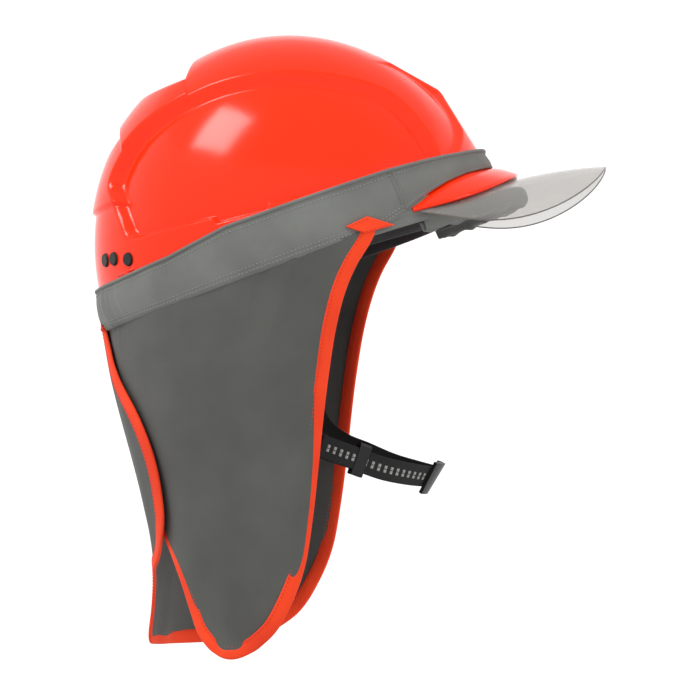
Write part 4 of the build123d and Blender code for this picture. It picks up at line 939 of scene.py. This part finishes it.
def dash_part(centre, cross_dir, up_dir, along_dir, width, length):
    """Small raised woven dash lying on the webbing."""
    prof = [(-width / 2, 0.0), (-width / 2 + 0.3, 0.12), (width / 2 - 0.3, 0.12), (width / 2, 0.0)]
    pts = [centre + cross_dir * a + up_dir * b + along_dir * (c * length / 2) for c in (-1, 1) for a, b in prof]
    return np.array(pts), [(0, 1, 5, 4), (1, 2, 6, 5), (2, 3, 7, 6), (0, 3, 2, 1), (4, 5, 6, 7), (0, 4, 7, 3)]


DASH_OFFSETS, DASH_WIDTH, DASH_LENGTH = (-1.3, 1.3), 2.2, 2.0
dashes = []
for i in range(9, len(line) - 8, 3):
    for offset in DASH_OFFSETS:
        at = line[i] + cross[i] * offset + out[i] * 0.7
        dashes.append(dash_part(at, cross[i], out[i], along[i], DASH_WIDTH, DASH_LENGTH))
make_piece("chin_webbing_dashes", dashes, web_dash_mat, "chin_strap", ())

SLIDER_LENGTH = 8.0
start, end = chin_route[5], chin_route[7]
slide_dir = unit(end - start)
SLIDER_AT = np.array([46.0, -48.9, -133.0])
slide_at = start + slide_dir * float(((SLIDER_AT - start) * slide_dir).sum())
near = int(np.argmin(np.linalg.norm(line - chin_route[6], axis=-1)))
slide_out = unit(out[near] - slide_dir * (out[near] * slide_dir).sum())
shifts = np.linspace(-SLIDER_LENGTH / 2 + 0.2, -SLIDER_LENGTH / 2 - 26.0, 24)
tail_lift = 3.6 - 0.9 * smooth_step((-shifts - 6) / 20)
tail_line = slide_at + slide_dir * shifts[:, None] + slide_out * tail_lift[:, None]
tail_out = np.tile(slide_out, (len(shifts), 1))
tail_cross = np.tile(np.cross(slide_dir, slide_out), (len(shifts), 1))
make_piece("chin_tail_strap", [sweep(tail_line, tail_cross, tail_out, web_profile(14.6, 1.3))], webbing_mat, "slider",
           ["chin_strap_tail"])
tail_dashes = []
for i in range(2, 22, 4):
    for offset in DASH_OFFSETS:
        at = tail_line[i] + tail_cross[i] * offset + tail_out[i] * 0.66
        tail_dashes.append(dash_part(at, tail_cross[i], tail_out[i], slide_dir, DASH_WIDTH, DASH_LENGTH))
make_piece("chin_tail_dashes", tail_dashes, web_dash_mat, "slider", ())

# ---------------------------------------------------------------- elastic, sweatband and pads
turn = np.linspace(math.radians(84), math.radians(276), 260)
wave = 0.25 * np.sin(np.arange(len(turn)) * 1.1)
elastic_line = hat_points(np.stack([DOME_X + 129.9 * np.cos(turn), 102.9 * np.sin(turn), -6.6 + wave], -1))
elastic_out = hat_points(np.stack([np.cos(turn), np.sin(turn), turn * 0], -1))
elastic_up = np.tile(hat_points(np.array([0, 0, 1.0])), (len(turn), 1))
make_piece("hem_elastic_tape", [sweep(elastic_line, elastic_out, elastic_up, web_profile(6.0, 0.7, 8))], elastic_mat,
           "hat", ["hem_elastic"])


def sweatband_part():
    """Padded brow band with cross quilting, round the inside of the headband."""
    limit = math.acos(20.0 / 97.0)  # the band ends 20 mm in front of the middle
    turn = np.linspace(-limit, limit, 180)
    loop = np.linspace(0, 2 * math.pi, 28, endpoint=False)
    t, v = np.meshgrid(turn, loop, indexing="ij")
    quilt = 0.35 * np.abs(np.sin(t * 22)) ** 0.5
    half_h, mid_z = 13.2, 1.5
    swell = np.abs(np.cos(v)) ** 0.6 * np.sign(np.cos(v))
    rise = np.abs(np.sin(v)) ** 0.5 * np.sign(np.sin(v))
    ends = np.clip((limit - np.abs(t)) / 0.05, 0.15, 1) ** 0.5
    radial = -0.2 - 1.6 + 1.55 * swell * ends + np.where(swell < 0, quilt * 0.6, 0)
    a, b = 98.0 + radial, 78.0 + radial
    z = mid_z + half_h * rise * (0.9 + 0.1 * ends)
    grid = np.stack([a * np.cos(t), b * np.sin(t), z], -1)
    n, m = grid.shape[:2]
    faces = grid_faces(n, m, wrap_v=True) + end_faces(n, m)
    return hat_points(grid.reshape(-1, 3)), faces


sweat = make_piece("sweatband_pad", [sweatband_part()], padding_mat, "hat", ["sweatband"])


def pad_part(origin, side_dir, up_dir, face_dir, half_w, half_h, thick, power, dimple):
    """Crowned cushion with a seam round its edge; face_dir points to the head."""
    rings, around = 16, 88
    turn = np.arange(around) * 2 * math.pi / around
    cos, sin = np.cos(turn), np.sin(turn)
    ring = np.stack([np.abs(cos) ** power * np.sign(cos) * half_w, np.abs(sin) ** power * np.sign(sin) * half_h], -1)
    rows, heights = [], []
    for face in (1, -1):
        order = range(rings) if face > 0 else range(rings - 1, -1, -1)
        for k in order:
            share = math.sin(k / (rings - 1) * math.pi / 2)
            rows.append(ring * max(share, 0.02))
            full = (1 - share**3.2) ** 0.55
            height = thick / 2 * full * (1.0 if face > 0 else 0.85)
            dents = dimple * np.cos(turn * 8) * share**2 * (1 - share) * 3
            heights.append(np.full(around, face * height) - face * dents)
    flat, high = np.stack(rows, 0), np.stack(heights, 0)
    p = origin + flat[..., :1] * side_dir + flat[..., 1:] * up_dir + high[..., None] * face_dir
    n, m = p.shape[:2]
    faces = grid_faces(n, m, wrap_v=True)
    faces += end_faces(n, m)
    return p.reshape(-1, 3), faces


hat_up, hat_fore = hat_points(np.array([0, 0, 1.0])), hat_points(np.array([1.0, 0, 0]))
hat_side = np.array([0, 1.0, 0])
crown_at = hat_points(np.array([0, 0, 96.5 - 2.0]))
crown_cushion = pad_part(crown_at, hat_fore, hat_side, -hat_up, 31.6, 31.6, 4.2, 1.0, dimple=0.4)
crown = make_piece("crown_pad_cushion", [crown_cushion], padding_mat, "hat", ["crown_pad"])
nape_at = hat_points(np.array([-99.6 + 0.1 + 2.5, 0, -16.0]))
nape_cushion = pad_part(nape_at, hat_side, hat_up, hat_fore, 29.6, 15.6, 5.0, 0.45, dimple=0.3)
nape = make_piece("nape_pad_cushion", [nape_cushion], padding_mat, "hat", ["nape_pad"])
